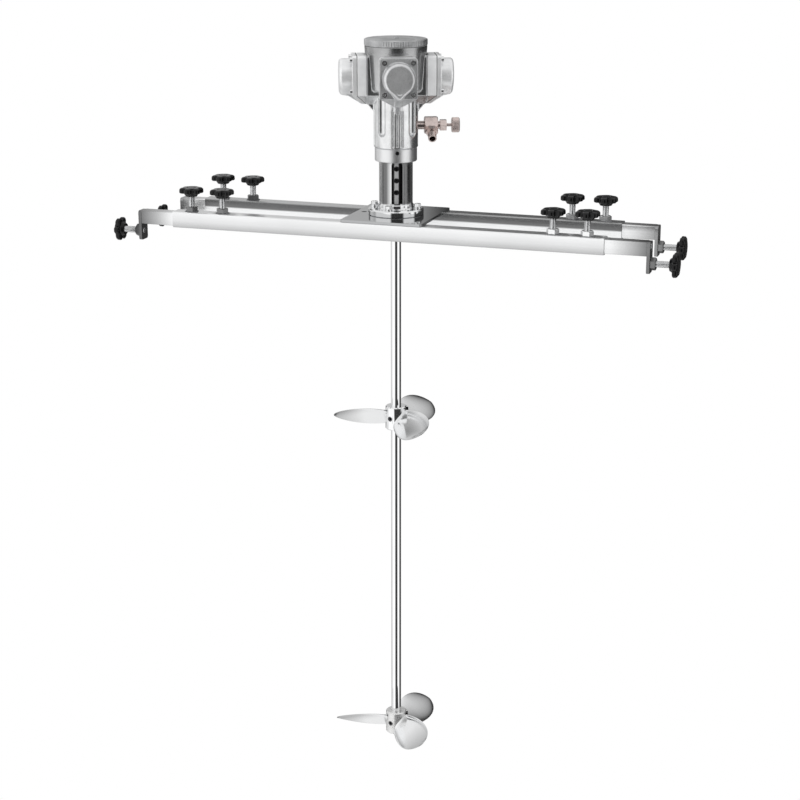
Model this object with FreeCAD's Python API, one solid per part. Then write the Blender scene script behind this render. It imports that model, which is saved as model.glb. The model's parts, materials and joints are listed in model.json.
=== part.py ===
"""Portable tank agitator: a radial piston air motor on a telescopic frame, with a two-propeller shaft.

Millimetres. +Z is up, X runs along the frame's rails, and the front rail is on the -Y side.
The origin is where the shaft's axis crosses the plane of the outer rails' undersides.
Each sub-part is written to parts/ as its own STEP file.
"""
import FreeCAD, Part
import os
from math import acos, cos, pi, radians, sin, sqrt, tan

Vector = FreeCAD.Vector
X = Vector(1, 0, 0)
Y = Vector(0, 1, 0)
Z = Vector(0, 0, 1)
ORIGIN = Vector(0, 0, 0)

# Fits shared by several pieces
running = 0.05            # radial clearance of a turning or screwed fit
seat_gap = 0.1            # clearance at the end of a blind hole
plain_gap = 0.5           # radial clearance of a bolt in its hole
merge = 1.0               # how far a fused form reaches into its neighbour

# Frame across the tank
rail_length = 690.0
rail_size = 25.0
rail_wall = 1.5
rail_corner = 2.0
rail_spacing = 125.0      # centre to centre across the frame
slide_clearance = 0.5     # inner rail to outer rail, each side
inner_length = 250.0      # inner tube without its jaw
inner_wall = 1.5
inner_corner = 1.5
reach = {                 # outer rail's end to the jaw's outer face, as the frame is set
    "front_left": 60.0,
    "rear_left": 45.0,
    "front_right": 68.0,
    "rear_right": 56.0,
}
jaw_thickness = 5.0
jaw_width = 22.0
jaw_hang = 26.0           # below the inner rail's underside
jaw_corner = 4.0
clamp_drop = 12.0         # clamp screw's axis below the inner rail's underside

# Star-knob screws, M10
screw_d = 10.0
screw_tip = 0.8           # chamfer at the stud's tip
nut_flats = 17.0
nut_height = 8.0
nut_bevel = 0.4           # flats' circle to the bevel's inner rim
bevel_angle = 30.0        # of the corners of every hexagon nut and bolt head
lock_inset = 28.0         # outer rail's end to the first lock screw
lock_pitch = 52.0
lock_gap = 16.0           # nut to knob on a lock screw
clamp_gap = 20.0          # nut to knob on a clamp screw
knob_d = 38.0
knob_rim = 9.0
knob_hub_d = 18.0
knob_hub_flare = 3.0      # radius that the hub gains up to the rim
knob_hub_height = 5.0
knob_socket = 9.0         # depth of the stud in its knob
knob_lobes = 6
knob_flute_r = 6.5
knob_flute_depth = 4.0
knob_edge = 1.2

# Mounting plate
plate_length = 130.0
plate_thickness = 4.0
plate_bore_d = 40.0
plate_corner = 3.0
plate_hole_d = 8.0
plate_hole_x = -52.0

# Pedestal, turned about the shaft with the motor
head_turn = 22.3          # degrees from the front rail's normal towards +X
flange_d = 86.0
flange_thickness = 10.0
flange_edge = 2.0
boss_d = 54.0
boss_height = 7.0
boss_foot = 1.2           # small slope where the boss meets the flange
post_d = 52.0
post_bore_d = 38.0
collar_d = 65.0
collar_height = 21.0
collar_edge = 1.0
pedestal_height = 104.0   # plate to the collar's top
window_width = 17.0
window_arch = 3.0         # how far the window's round top cuts into the collar
window_sill = 19.0        # plate to the window's lower edge
collar_screw_d = 6.0
collar_screw_depth = 6.0  # below the collar's top
collar_screw_length = 7.0
collar_screw_count = 3

# Flange bolts, M6
bolt_d = 6.0
bolt_count = 4
bolt_pcd = 70.0
bolt_flats = 10.0
bolt_head = 4.5
bolt_washer_d = 12.0
bolt_washer = 1.6
spring_washer_d = 10.5
bolt_nut = 5.0
bolt_stickout = 3.0

# Motor housing
spigot_d = 46.0
spigot_length = 20.0
neck_r = 34.0
axis_rise = 110.5         # collar's top to the cylinders' axes
crankcase_low_r = 44.3
crankcase_top_r = 47.8
crankcase_rise = 43.5     # cylinders' axes to the cover's seam
crankcase_drop = 25.0     # cylinders' axes to the crankcase's underside
crankcase_fillet = 6.0
chamber_r = 31.0
chamber_floor = 30.5      # below the cylinders' axes
pocket_width = 15.0
pocket_depth = 7.0
pocket_foot = 18.0        # collar's top to the pockets' lower ends
pocket_roof = 3.0         # pockets' upper ends to the chamber's floor
channel_rib = 4.0         # each of the two ribs on the neck's front, back and sides
channel_gap = 2.6
channel_groove = 3.0
channel_depth = 3.2
channel_foot = 3.0
channel_rise = 58.0
neck_edge = 1.0
neck_flare = 2.0
neck_flare_height = 4.0
cylinder_bore_d = 40.0

# Cylinder boxes and heads
gasket_r = 60.0           # motor's axis to the gasket face
gasket_thickness = 0.5
head_width = 57.0
head_height = 60.0
head_corner = 4.5
flange_depth = 14.0       # full-width part of a cylinder box, behind its head
root_width = 46.0         # narrower part that joins it to the crankcase
head_plate = 6.5
head_keel = 14.5          # depth of the V under the square part
keel_tip = 9.0            # width of the V's blunt end
cap_d = 48.0
cap_length = 20.0         # stands proud of the head plate
cap_edge = 6.0
cap_chamfer_z = -13.0     # where the cap's lower rim starts to slope, from its axis
tail_width = 11.4
tail_root = 4.0           # extra half width where the tail leaves the cap
tail_top = 26.0           # below the cylinder's axis, where the tail reaches its width
tail_proud = 10.0
tail_step = 2.0
head_chamber_d = 36.0
head_chamber_depth = 11.0
head_screw_y = 21.5
head_screw_z = 23.5
head_screw_d = 5.0
head_screw_head_d = 8.5
head_screw_head = 4.0
head_screw_grip = 12.0
web_width = 8.0
web_drop = 13.0

# Top cover
cover_thickness = 10.0
cover_spigot = 3.0
cover_edge = 1.2
cover_boss_d = 8.0
cover_boss_height = 1.5
cover_screw_count = 4
cover_screw_pcd = 80.0
cover_screw_sink = 4.5

# Crankshaft and what carries it
spindle_d = 15.0
spindle_lock = 22.0       # length held in the coupling
bearing_od = 35.0
bearing_width = 11.0
bearing_groove = 1.2
bearing_race = 3.0        # radial width of each race
seal_od = 30.0
seal_width = 4.0
distributor_d = 26.0
distributor_length = 40.0
distributor_end_gap = 1.0
distributor_groove = 3.0
distributor_land = 2.0
distributor_room = 2.0    # between the distributor and the casting beyond the sleeve
sleeve_od = 33.0
sleeve_rise = 12.0        # collar's top to the sleeve's lower end
inlet_rise = 32.5         # collar's top to the inlet's axis
inlet_bore_d = 10.0
sleeve_port_rise = 30.0   # sleeve's lower end to the cylinders' ports
sleeve_port_d = 6.0
crank_throw = 7.0
crank_pin_d = 18.0
crank_web_r = 23.0
crank_web = 7.0
crank_web_gap = 1.0       # bearing to web
crank_relief = 39.0       # axis of the round relief in the web
crank_pin_boss = 3.0
crank_pin_length = 34.0
shoe_gap = 0.5            # parked shoes to the crank pin's orbit
piston_clearance = 0.1
piston_length = 24.0
piston_crown = 4.0
piston_skirt = 3.5
piston_end_gap = 3.0      # crown to the gasket face
rod_d = 9.0
rod_ball_d = 15.0
rod_seat_wall = 3.0
rod_ball_r = 45.0         # motor's axis to the small end
shoe_thickness = 4.0
shoe_width = 18.0
shoe_height = 18.0

# Exhaust silencer
silencer_angle = 143.0    # from the right-hand head, about the motor's axis
silencer_inset = 16.0     # gasket face to the silencer's axis
silencer_boss_d = 16.0
silencer_boss_drop = 7.5  # below the cylinder boxes
silencer_d = 12.0
silencer_base = 5.0
silencer_cone = 13.0
silencer_tip_d = 4.0
silencer_shoulder = 0.5

# Inlet valve, measured outwards from the motor's axis
nipple_d = 13.0
nipple_inset = 3.0        # threaded into the neck
valve_start = 43.5
valve_flats = 25.0
valve_length = 20.5
valve_bore_d = 9.0
valve_bevel = 3.0         # length of the turned bevel at each end
valve_bevel_rise = 4.5
valve_bevel_inset = 0.5
bonnet_neck_d = 12.0
bonnet_neck = 3.5
bonnet_flats = 16.0
bonnet_length = 10.0
valve_stem_d = 5.0
valve_stem_reach = 8.0    # bonnet to knob
valve_knob_d = 23.0
valve_knob_length = 12.0
valve_knob_socket = 7.0
valve_knob_edge = 1.0
needle_length = 6.0
port_tilt = 30.0          # degrees below level, square to the body's lower front flat
port_inset = 8.0          # valve's axis to the port's inner end
port_d = 13.0
port_bore_d = 9.5
port_length = 34.0        # valve's axis to the mouth
port_hex_flats = 17.0
port_hex_length = 7.0

# Rotor
drop = 850.0              # rail underside to the lower hub's underside
shaft_d = 16.0
shaft_top = 88.0
coupling_d = 28.0
coupling_low = 46.0
coupling_length = 65.0
coupling_screw_first = 17.8
coupling_screw_pitch = 18.3
coupling_screw_count = 3
coupling_edge = 1.0
hub_screw_d = 8.0
propeller_d = 200.0
propeller_spacing = 531.0
blade_turn = 73.3         # degrees from +X of the first blade
blade_count = 3
hub_d = 34.0
hub_height = 38.0
hub_edge = 1.5
hub_fit = 0.05
blade_sink = 3.0          # how far a blade's root reaches into its hub
blade_chord = 54.0
blade_root_chord = 36.0
blade_root_pitch = 50.0
blade_tip_pitch = 33.0
blade_thickness = 3.2
blade_thinning = 0.55     # share of the thickness lost from root to tip
blade_camber = 2.5
blade_sections = 9
blade_widest = 0.52       # share of the blade's length where it is widest
blade_tip_share = 0.17    # share of the chord left at the very tip
hub_screw_boss_d = 12.0
hub_screw_boss = 2.5
hub_screw_margin = 1.0    # pad's rim to the hub's end
hub_screw_sink = 1.0

# Heights that follow from the sizes above
rail_top = rail_size
plate_top = rail_top + plate_thickness
flange_top = plate_top + flange_thickness
collar_top = plate_top + pedestal_height
collar_bottom = collar_top - collar_height
axis_z = collar_top + axis_rise
seam_z = axis_z + crankcase_rise
inner_size = rail_size - 2 * (rail_wall + slide_clearance)
inner_low = rail_wall + slide_clearance
inner_top = inner_low + inner_size
clamp_z = inner_low - clamp_drop
rail_y = {"front": -rail_spacing / 2, "rear": rail_spacing / 2}
plate_width = rail_spacing + rail_size
head_face_r = gasket_r + gasket_thickness
spigot_bottom = collar_top - spigot_length
upper_hub_z = -drop + hub_height / 2 + propeller_spacing
lower_hub_z = -drop + hub_height / 2
blade_root_r = hub_d / 2 - blade_sink
blade_length = propeller_d / 2 - blade_root_r
crank_floor = axis_z - chamber_floor
silencer_r = gasket_r - silencer_inset
inlet_z = collar_top + inlet_rise
spindle_low = coupling_low + coupling_length - spindle_lock
head_names = ("front", "right", "rear", "left")
head_angles = {name: head_turn - 90 + 90 * i for i, name in enumerate(head_names)}


def bar(diameter, length, base=ORIGIN, direction=Z):
    return Part.makeCylinder(diameter / 2, length, base, direction)


def tube(outer, inner, length, base=ORIGIN, direction=Z):
    return bar(outer, length, base, direction).cut(bar(inner, length, base, direction))


def block(x0, x1, y0, y1, z0, z1):
    return Part.makeBox(x1 - x0, y1 - y0, z1 - z0, Vector(x0, y0, z0))


def turned(shape, angle):
    copy = shape.copy()
    copy.rotate(ORIGIN, Z, angle)
    return copy


def moved(shape, x=0.0, y=0.0, z=0.0):
    copy = shape.copy()
    copy.translate(Vector(x, y, z))
    return copy


def laid(shape, direction):
    """A shape drawn along +Z from the origin, turned to run along a direction."""
    copy = shape.copy()
    copy.Placement = FreeCAD.Placement(ORIGIN, FreeCAD.Rotation(Z, direction)).multiply(copy.Placement)
    return copy


def outline(points):
    return Part.Face(Part.makePolygon(list(points) + [points[0]]))


def hexagon(flats, length):
    corner = flats / sqrt(3)
    points = [Vector(corner * cos(k * pi / 3), corner * sin(k * pi / 3), 0) for k in range(6)]
    return outline(points).extrude(Vector(0, 0, length))


def bevelled_hexagon(flats, length):
    """A hexagon bar with the corners of its top face turned off."""
    corner_r = flats / sqrt(3) + nut_bevel
    face_r = flats / 2 - nut_bevel
    bevel = (corner_r - face_r) * tan(radians(bevel_angle))
    turning = bar(2 * corner_r, length - bevel)
    cone = Part.makeCone(corner_r, face_r, bevel, Vector(0, 0, length - bevel))
    return hexagon(flats, length).common(turning.fuse(cone).removeSplitter())


def edges_along(shape, direction):
    """The straight edges that run along a direction."""
    found = []
    for edge in shape.Edges:
        if edge.Curve.TypeId != "Part::GeomLine":
            continue
        if edge.Curve.Direction.cross(direction).Length < 1e-6:
            found.append(edge)
    return found


def circles(shape):
    return [edge for edge in shape.Edges if edge.Curve.TypeId == "Part::GeomCircle"]


def rounded_block(x0, x1, y0, y1, z0, z1, radius, direction):
    shape = block(x0, x1, y0, y1, z0, z1)
    return shape.makeFillet(radius, edges_along(shape, direction))


def revolved(points):
    """A closed profile of (radius, height) points turned about the Z axis."""
    return outline([Vector(r, 0, z) for r, z in points]).revolve(ORIGIN, Z, 360)


def socket_screw(diameter, length, head_d=0.0, head=0.0):
    """A screw along -Z from the origin, with a hexagon socket in its top face."""
    shape = bar(diameter, length, Vector(0, 0, -length))
    if head:
        shape = shape.fuse(bar(head_d, head)).removeSplitter()
    key = diameter / 2
    return shape.cut(moved(hexagon(key, key), z=head - key))


# Frame

def square_tube(size, wall, corner, x0, x1, y, z0):
    outer = rounded_block(x0, x1, y - size / 2, y + size / 2, z0, z0 + size, corner, X)
    room = size / 2 - wall
    inner_radius = max(corner - wall, corner / 4)
    hollow = rounded_block(x0, x1, y - room, y + room, z0 + wall, z0 + size - wall, inner_radius, X)
    return outer.cut(hollow)


def lock_positions(end):
    """X of the two lock screws at one end of a rail, where end is -1 for left and 1 for right."""
    return [end * (rail_length / 2 - lock_inset - k * lock_pitch) for k in range(2)]


def nut():
    return bevelled_hexagon(nut_flats, nut_height).cut(bar(screw_d + 2 * running, nut_height))


def outer_rail(side):
    y = rail_y[side]
    rail = square_tube(rail_size, rail_wall, rail_corner, -rail_length / 2, rail_length / 2, y, 0)
    nuts = []
    for end in (-1, 1):
        for x in lock_positions(end):
            hole = bar(screw_d + 2 * plain_gap, rail_wall, Vector(x, y, rail_top - rail_wall))
            rail = rail.cut(hole)
            nuts.append(moved(nut(), x, y, rail_top))
    return Part.makeCompound([rail] + nuts)


def jaw_face(side, end):
    """X of the jaw's outer face."""
    name = side + ("_left" if end < 0 else "_right")
    return end * (rail_length / 2 + reach[name])


def inner_rail(side, end):
    y = rail_y[side]
    outer_face = jaw_face(side, end)
    inner_face = outer_face - end * jaw_thickness
    far_end = inner_face - end * inner_length
    x0, x1 = sorted([inner_face, far_end])
    rail = square_tube(inner_size, inner_wall, inner_corner, x0, x1, y, inner_low)
    x0, x1 = sorted([inner_face, outer_face])
    half = jaw_width / 2
    jaw = rounded_block(x0, x1, y - half, y + half, inner_low - jaw_hang, inner_top, jaw_corner, X)
    hole = bar(screw_d + 2 * running, jaw_thickness, Vector(inner_face, y, clamp_z), X * end)
    welded_nut = laid(nut(), X * end)
    welded_nut.translate(Vector(outer_face, y, clamp_z))
    return Part.makeCompound([rail, jaw.cut(hole), welded_nut])


# Star-knob screws

def stud(length):
    """A stud along +Z with its tip at the origin."""
    shape = bar(screw_d, length)
    low_rim = [edge for edge in circles(shape) if edge.CenterOfMass.z < length / 2]
    return shape.makeChamfer(screw_tip, low_rim)


def knob():
    """A star knob along +Z, with the underside of its hub at the origin."""
    top = knob_hub_height + knob_rim
    rim = revolved([
        (0, knob_hub_height),
        (knob_d / 2 - knob_edge, knob_hub_height),
        (knob_d / 2, knob_hub_height + knob_edge),
        (knob_d / 2, top - 2 * knob_edge),
        (knob_d / 2 - 3 * knob_edge, top - knob_edge / 2),
        (0, top),
    ])
    flute_at = knob_d / 2 - knob_flute_depth + knob_flute_r
    for k in range(knob_lobes):
        angle = 2 * pi * k / knob_lobes
        centre = Vector(flute_at * cos(angle), flute_at * sin(angle), knob_hub_height)
        rim = rim.cut(bar(2 * knob_flute_r, knob_rim, centre))
    hub = Part.makeCone(knob_hub_d / 2, knob_hub_d / 2 + knob_hub_flare, knob_hub_height)
    socket = bar(screw_d + 2 * running, knob_socket + seat_gap)
    return hub.fuse(rim).removeSplitter().cut(socket)


lock_stud_length = (rail_top - inner_top) + nut_height + lock_gap + knob_socket
clamp_stud_length = jaw_thickness + nut_height + clamp_gap + knob_socket


def lock_screw(side, end, index):
    """Stud and knob of one lock screw, its tip on top of the inner rail."""
    x = lock_positions(end)[index]
    y = rail_y[side]
    knob_z = rail_top + nut_height + lock_gap
    return moved(stud(lock_stud_length), x, y, inner_top), moved(knob(), x, y, knob_z)


def clamp_screw(side, end):
    """Stud and knob of one clamp screw, its tip flush with the jaw's inner face."""
    outwards = X * end
    outer_face = jaw_face(side, end)
    y = rail_y[side]
    pin = laid(stud(clamp_stud_length), outwards)
    pin.translate(Vector(outer_face - end * jaw_thickness, y, clamp_z))
    handle = laid(knob(), outwards)
    handle.translate(Vector(outer_face + end * (nut_height + clamp_gap), y, clamp_z))
    return pin, handle


# Plate and pedestal

def on_circle(diameter, count, start=0.0):
    """Points spaced evenly on a circle about the Z axis, the first at the start angle."""
    angles = [radians(start + 360 * k / count) for k in range(count)]
    return [Vector(diameter / 2 * cos(a), diameter / 2 * sin(a), 0) for a in angles]


def bolt_places():
    return on_circle(bolt_pcd, bolt_count)


def mounting_plate():
    half_x = plate_length / 2
    half_y = plate_width / 2
    plate = rounded_block(-half_x, half_x, -half_y, half_y, rail_top, plate_top, plate_corner, Z)
    plate = plate.cut(bar(plate_bore_d, plate_thickness, Vector(0, 0, rail_top)))
    plate = plate.cut(bar(plate_hole_d, plate_thickness, Vector(plate_hole_x, 0, rail_top)))
    for place in bolt_places():
        plate = plate.cut(bar(bolt_d + 2 * plain_gap, plate_thickness, place + Vector(0, 0, rail_top)))
    return plate


def collar_screw_angles():
    return [head_turn - 90 + 360 * k / collar_screw_count for k in range(collar_screw_count)]


def pedestal():
    boss_top = flange_top + boss_height
    shape = revolved([
        (post_bore_d / 2, plate_top),
        (flange_d / 2 - flange_edge / 2, plate_top),
        (flange_d / 2, plate_top + flange_edge / 2),
        (flange_d / 2, flange_top - flange_edge),
        (flange_d / 2 - flange_edge, flange_top),
        (boss_d / 2 + boss_foot, flange_top),
        (boss_d / 2, flange_top + boss_foot),
        (boss_d / 2, boss_top - boss_foot),
        (post_d / 2, boss_top),
        (post_d / 2, collar_bottom),
        (collar_d / 2 - collar_edge, collar_bottom),
        (collar_d / 2, collar_bottom + collar_edge),
        (collar_d / 2, collar_top - collar_edge),
        (collar_d / 2 - collar_edge, collar_top),
        (spigot_d / 2 + running, collar_top),
        (spigot_d / 2 + running, spigot_bottom),
        (post_bore_d / 2, spigot_bottom),
    ])
    for place in bolt_places():
        shape = shape.cut(bar(bolt_d + 2 * plain_gap, flange_thickness, place + Vector(0, 0, plate_top)))
    sill = plate_top + window_sill
    spring = collar_bottom + window_arch - window_width / 2
    window = block(-window_width / 2, window_width / 2, -post_d, post_d, sill, spring)
    arch = bar(window_width, 2 * post_d, Vector(0, -post_d, spring), Y)
    collar_skin = tube(3 * post_d, post_d, collar_height, Vector(0, 0, collar_bottom))
    shape = shape.cut(turned(window.fuse(arch), head_turn).cut(collar_skin))
    hole_z = collar_top - collar_screw_depth
    hole = bar(collar_screw_d + 2 * running, collar_d / 2, Vector(0, 0, hole_z), X)
    for angle in collar_screw_angles():
        shape = shape.cut(turned(hole, angle))
    return shape


def flange_bolt():
    """A hexagon bolt with flat and spring washer above the flange, washer and nut under the plate."""
    head_z = flange_top + 2 * bolt_washer
    nut_z = rail_top - bolt_washer - bolt_nut
    end_z = nut_z - bolt_stickout
    hole_d = bolt_d + 2 * running
    bolt = moved(bevelled_hexagon(bolt_flats, bolt_head), z=head_z)
    bolt = bolt.fuse(bar(bolt_d, head_z - end_z, Vector(0, 0, end_z))).removeSplitter()
    flat_washer = tube(bolt_washer_d, hole_d, bolt_washer, Vector(0, 0, flange_top))
    spring_washer = tube(spring_washer_d, hole_d, bolt_washer, Vector(0, 0, flange_top + bolt_washer))
    lower_washer = tube(bolt_washer_d, hole_d, bolt_washer, Vector(0, 0, rail_top - bolt_washer))
    lower_nut = laid(bevelled_hexagon(bolt_flats, bolt_nut).cut(bar(hole_d, bolt_nut)), -Z)
    lower_nut.translate(Vector(0, 0, nut_z + bolt_nut))
    return [bolt, flat_washer, spring_washer, lower_washer, lower_nut]


def flange_bolts():
    solids = []
    for place in bolt_places():
        solids += [moved(piece, place.x, place.y) for piece in flange_bolt()]
    return Part.makeCompound(solids)


def collar_screws():
    screw = laid(socket_screw(collar_screw_d, collar_screw_length), X)
    outer_end = spigot_d / 2 + running + collar_screw_length
    screw.translate(Vector(outer_end, 0, collar_top - collar_screw_depth))
    return Part.makeCompound([turned(screw, angle) for angle in collar_screw_angles()])


# Motor housing

def side_prism(points, width):
    """A profile in the plane of the motor's axis and a cylinder's axis, as thick as width."""
    face = outline([Vector(r, -width / 2, z) for r, z in points])
    return face.extrude(Vector(0, width, 0))


def face_prism(points, r0, r1):
    """An outline seen along a cylinder's axis, from radius r0 to radius r1."""
    face = outline([Vector(r0, y, z) for y, z in points])
    return face.extrude(Vector(r1 - r0, 0, 0))


def keel(r0, r1, width):
    """The V under a block of a cylinder's height, from radius r0 to radius r1."""
    low = axis_z - head_height / 2
    return face_prism([
        (-width / 2, low + head_corner),
        (width / 2, low + head_corner),
        (width / 2, low),
        (keel_tip / 2, low - head_keel),
        (-keel_tip / 2, low - head_keel),
        (-width / 2, low),
    ], r0, r1)


def keeled_block(r0, r1, width):
    low = axis_z - head_height / 2
    block_part = rounded_block(r0, r1, -width / 2, width / 2, low, low + head_height, head_corner, X)
    return block_part.fuse(keel(r0, r1, width))


def shield(r_in, r_out):
    """The square pad of a cylinder with the V-shaped keel under it, which leans in to the neck."""
    low = axis_z - head_height / 2
    high = axis_z + head_height / 2
    pad = rounded_block(r_in, r_out, -head_width / 2, head_width / 2, low, high, head_corner, X)
    lean = side_prism([
        (r_in, low + head_corner),
        (r_out, low + head_corner),
        (r_out, low),
        (r_out - head_keel, low - head_keel),
        (r_in - head_keel, low - head_keel),
        (r_in, low),
    ], head_width)
    return pad.fuse(keel(r_in - 2 * head_keel, r_out, head_width).common(lean)).removeSplitter()


def cylinder_box():
    """The casting's side of one cylinder, along +X: flange, narrower root and the web down to the neck."""
    core_r = neck_r / 2
    low = axis_z - head_height / 2
    flange = keeled_block(gasket_r - flange_depth, gasket_r, head_width)
    root = keeled_block(core_r, gasket_r - flange_depth + merge, root_width)
    lean = side_prism([
        (core_r, axis_z + head_height / 2),
        (gasket_r, axis_z + head_height / 2),
        (gasket_r, low),
        (gasket_r - head_keel, low - head_keel),
        (core_r, low - head_keel),
    ], head_width)
    web_top = low - head_keel
    web_r = gasket_r - head_keel - merge
    web = side_prism([
        (core_r, web_top + merge),
        (web_r, web_top + merge),
        (web_r, web_top),
        (neck_r - merge, web_top - web_drop),
        (core_r, web_top - web_drop),
    ], web_width)
    return flange.fuse(root).common(lean).fuse(web)


def neck_pocket():
    """The recess between two cylinders, along +X, with a rounded foot."""
    r = pocket_width / 2
    at = neck_r - pocket_depth + r
    foot = collar_top + pocket_foot + r
    top = crank_floor - pocket_roof
    return bar(2 * r, top - foot, Vector(at, 0, foot)).fuse(Part.makeSphere(r, Vector(at, 0, foot)))


def neck_channels():
    """The grooves that leave a double rib on the neck, along +X."""
    low = collar_top + channel_foot
    high = collar_top + channel_rise
    bottom_r = neck_r - channel_depth
    grooves = [block(bottom_r, neck_r, -channel_gap / 2, channel_gap / 2, low, high)]
    inner = channel_gap / 2 + channel_rib
    for y0 in (-inner - channel_groove, inner):
        grooves.append(block(bottom_r, neck_r, y0, y0 + channel_groove, low, high))
    return grooves


def crankcase():
    """Neck, crankcase and spigot in one turning, before the cylinders and the bores."""
    low = axis_z - crankcase_drop
    shoulder = crankcase_low_r - crankcase_fillet
    bend = crankcase_fillet * (1 - sin(pi / 4))
    mid = Vector(crankcase_low_r - bend, 0, low + bend)
    fillet_start = Vector(shoulder, 0, low)
    fillet_end = Vector(crankcase_low_r, 0, low + crankcase_fillet)
    below = Part.makePolygon([
        Vector(0, 0, seam_z),
        Vector(0, 0, spigot_bottom),
        Vector(spigot_d / 2, 0, spigot_bottom),
        Vector(spigot_d / 2, 0, collar_top),
        Vector(neck_r - neck_edge, 0, collar_top),
        Vector(neck_r, 0, collar_top + neck_edge),
        Vector(neck_r, 0, low - neck_flare_height),
        Vector(neck_r + neck_flare, 0, low),
        fillet_start,
    ])
    fillet = Part.Arc(fillet_start, mid, fillet_end).toShape()
    above = Part.makePolygon([fillet_end, Vector(crankcase_top_r, 0, seam_z), Vector(0, 0, seam_z)])
    wire = Part.Wire(below.Edges + [fillet] + above.Edges)
    return Part.Face(wire).revolve(ORIGIN, Z, 360)


sleeve_low = collar_top + sleeve_rise
upper_bearing_low = crank_floor - bearing_width
lower_bearing_low = spigot_bottom + seal_width
seal_low = spigot_bottom


def motor_housing():
    shape = crankcase()
    for angle in head_angles.values():
        shape = shape.fuse(turned(cylinder_box(), angle))
    for angle in head_angles.values():
        shape = shape.cut(turned(neck_pocket(), angle + 45))
        for groove in neck_channels():
            shape = shape.cut(turned(groove, angle))
    boss_length = silencer_boss_drop + head_height / 2 - crankcase_drop + crankcase_fillet
    shape = shape.fuse(bar(silencer_boss_d, boss_length, silencer_place()))
    shape = shape.cut(bar(2 * chamber_r, seam_z - crank_floor, Vector(0, 0, crank_floor)))
    shape = shape.cut(bar(bearing_od, bearing_width, Vector(0, 0, upper_bearing_low)))
    core_d = distributor_d + 2 * distributor_room
    shape = shape.cut(bar(core_d, upper_bearing_low - spigot_bottom, Vector(0, 0, spigot_bottom)))
    shape = shape.cut(bar(sleeve_od, distributor_length, Vector(0, 0, sleeve_low)))
    shape = shape.cut(bar(bearing_od, bearing_width, Vector(0, 0, lower_bearing_low)))
    inlet = bar(nipple_d, nipple_inset + merge, Vector(neck_r - nipple_inset, 0, inlet_z), X)
    passage = bar(inlet_bore_d, neck_r - sleeve_od / 2, Vector(sleeve_od / 2 - merge, 0, inlet_z), X)
    shape = shape.cut(turned(inlet.fuse(passage), head_turn))
    bore = bar(cylinder_bore_d, gasket_r, Vector(0, 0, axis_z), X)
    for angle in head_angles.values():
        shape = shape.cut(turned(bore, angle))
        for y, z in head_screw_places():
            base = Vector(gasket_r - head_screw_grip, y, axis_z + z)
            shape = shape.cut(turned(bar(head_screw_d, head_screw_grip, base, X), angle))
    for place in cover_screw_places():
        base = place + Vector(0, 0, seam_z - head_screw_grip)
        shape = shape.cut(bar(head_screw_d, head_screw_grip, base))
    return shape.removeSplitter()


def head_screw_places():
    return [(y, z) for y in (-head_screw_y, head_screw_y) for z in (-head_screw_z, head_screw_z)]


def cover_screw_places():
    """Between the cylinder boxes, at the crankcase's rim."""
    return on_circle(cover_screw_pcd, cover_screw_count, head_turn + 45)


def top_cover():
    top = seam_z + cover_thickness
    shape = revolved([
        (0, seam_z - cover_spigot),
        (chamber_r - running, seam_z - cover_spigot),
        (chamber_r - running, seam_z),
        (crankcase_top_r, seam_z),
        (crankcase_top_r, top - cover_edge),
        (crankcase_top_r - cover_edge, top),
        (cover_boss_d / 2, top),
        (cover_boss_d / 2, top + cover_boss_height),
        (0, top + cover_boss_height),
    ])
    sink_d = head_screw_head_d + 2 * plain_gap
    for place in cover_screw_places():
        hole = bar(head_screw_d + 2 * running, cover_thickness, Vector(0, 0, seam_z))
        sink = bar(sink_d, cover_screw_sink, Vector(0, 0, top - cover_screw_sink))
        shape = shape.cut(moved(hole.fuse(sink), place.x, place.y))
    return shape


def cylinder_head():
    """A head along +X: shield plate, round cap and the raised air passage that runs down its keel."""
    face_r = head_face_r + head_plate
    low = axis_z - head_height / 2
    cap_r = cap_d / 2
    tip_r = face_r + cap_length
    cap = bar(cap_d, cap_length + head_plate, Vector(head_face_r, 0, axis_z), X)
    outer_rim = [edge for edge in circles(cap) if edge.CenterOfMass.x > face_r]
    cap = cap.makeFillet(cap_edge, outer_rim)
    # The passage narrows from the cap's flanks to the tail's width.
    flank = acos((tail_width / 2 + tail_root) / cap_r) / 2
    flank_y = cap_r * cos(flank)
    flank_z = axis_z - cap_r * sin(flank)
    tail = face_prism([
        (-flank_y, flank_z),
        (flank_y, flank_z),
        (tail_width / 2, axis_z - tail_top - tail_step),
        (tail_width / 2, low - head_keel),
        (-tail_width / 2, low - head_keel),
        (-tail_width / 2, axis_z - tail_top - tail_step),
    ], head_face_r - head_keel, tip_r)
    slope = side_prism([
        (face_r - merge, axis_z),
        (tip_r - cap_edge, axis_z),
        (tip_r - cap_edge, axis_z + cap_chamfer_z),
        (face_r + tail_proud, low + tail_step),
        (face_r + tail_proud - tail_step / 2, low),
        (face_r - head_keel, low - head_keel),
        (face_r - head_keel - tail_step, low - head_keel),
        (face_r - merge, low),
    ], cap_d)
    shape = shield(head_face_r, face_r).fuse(cap).fuse(tail.common(slope))
    shape = shape.cut(bar(head_chamber_d, head_chamber_depth, Vector(head_face_r, 0, axis_z), X))
    for y, z in head_screw_places():
        base = Vector(head_face_r, y, axis_z + z)
        shape = shape.cut(bar(head_screw_d + 2 * running, head_plate, base, X))
    return shape.removeSplitter()


def head_gasket():
    shape = shield(gasket_r, head_face_r)
    shape = shape.cut(bar(cylinder_bore_d, gasket_thickness, Vector(gasket_r, 0, axis_z), X))
    for y, z in head_screw_places():
        base = Vector(gasket_r, y, axis_z + z)
        shape = shape.cut(bar(head_screw_d + 2 * running, gasket_thickness, base, X))
    return shape


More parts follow.
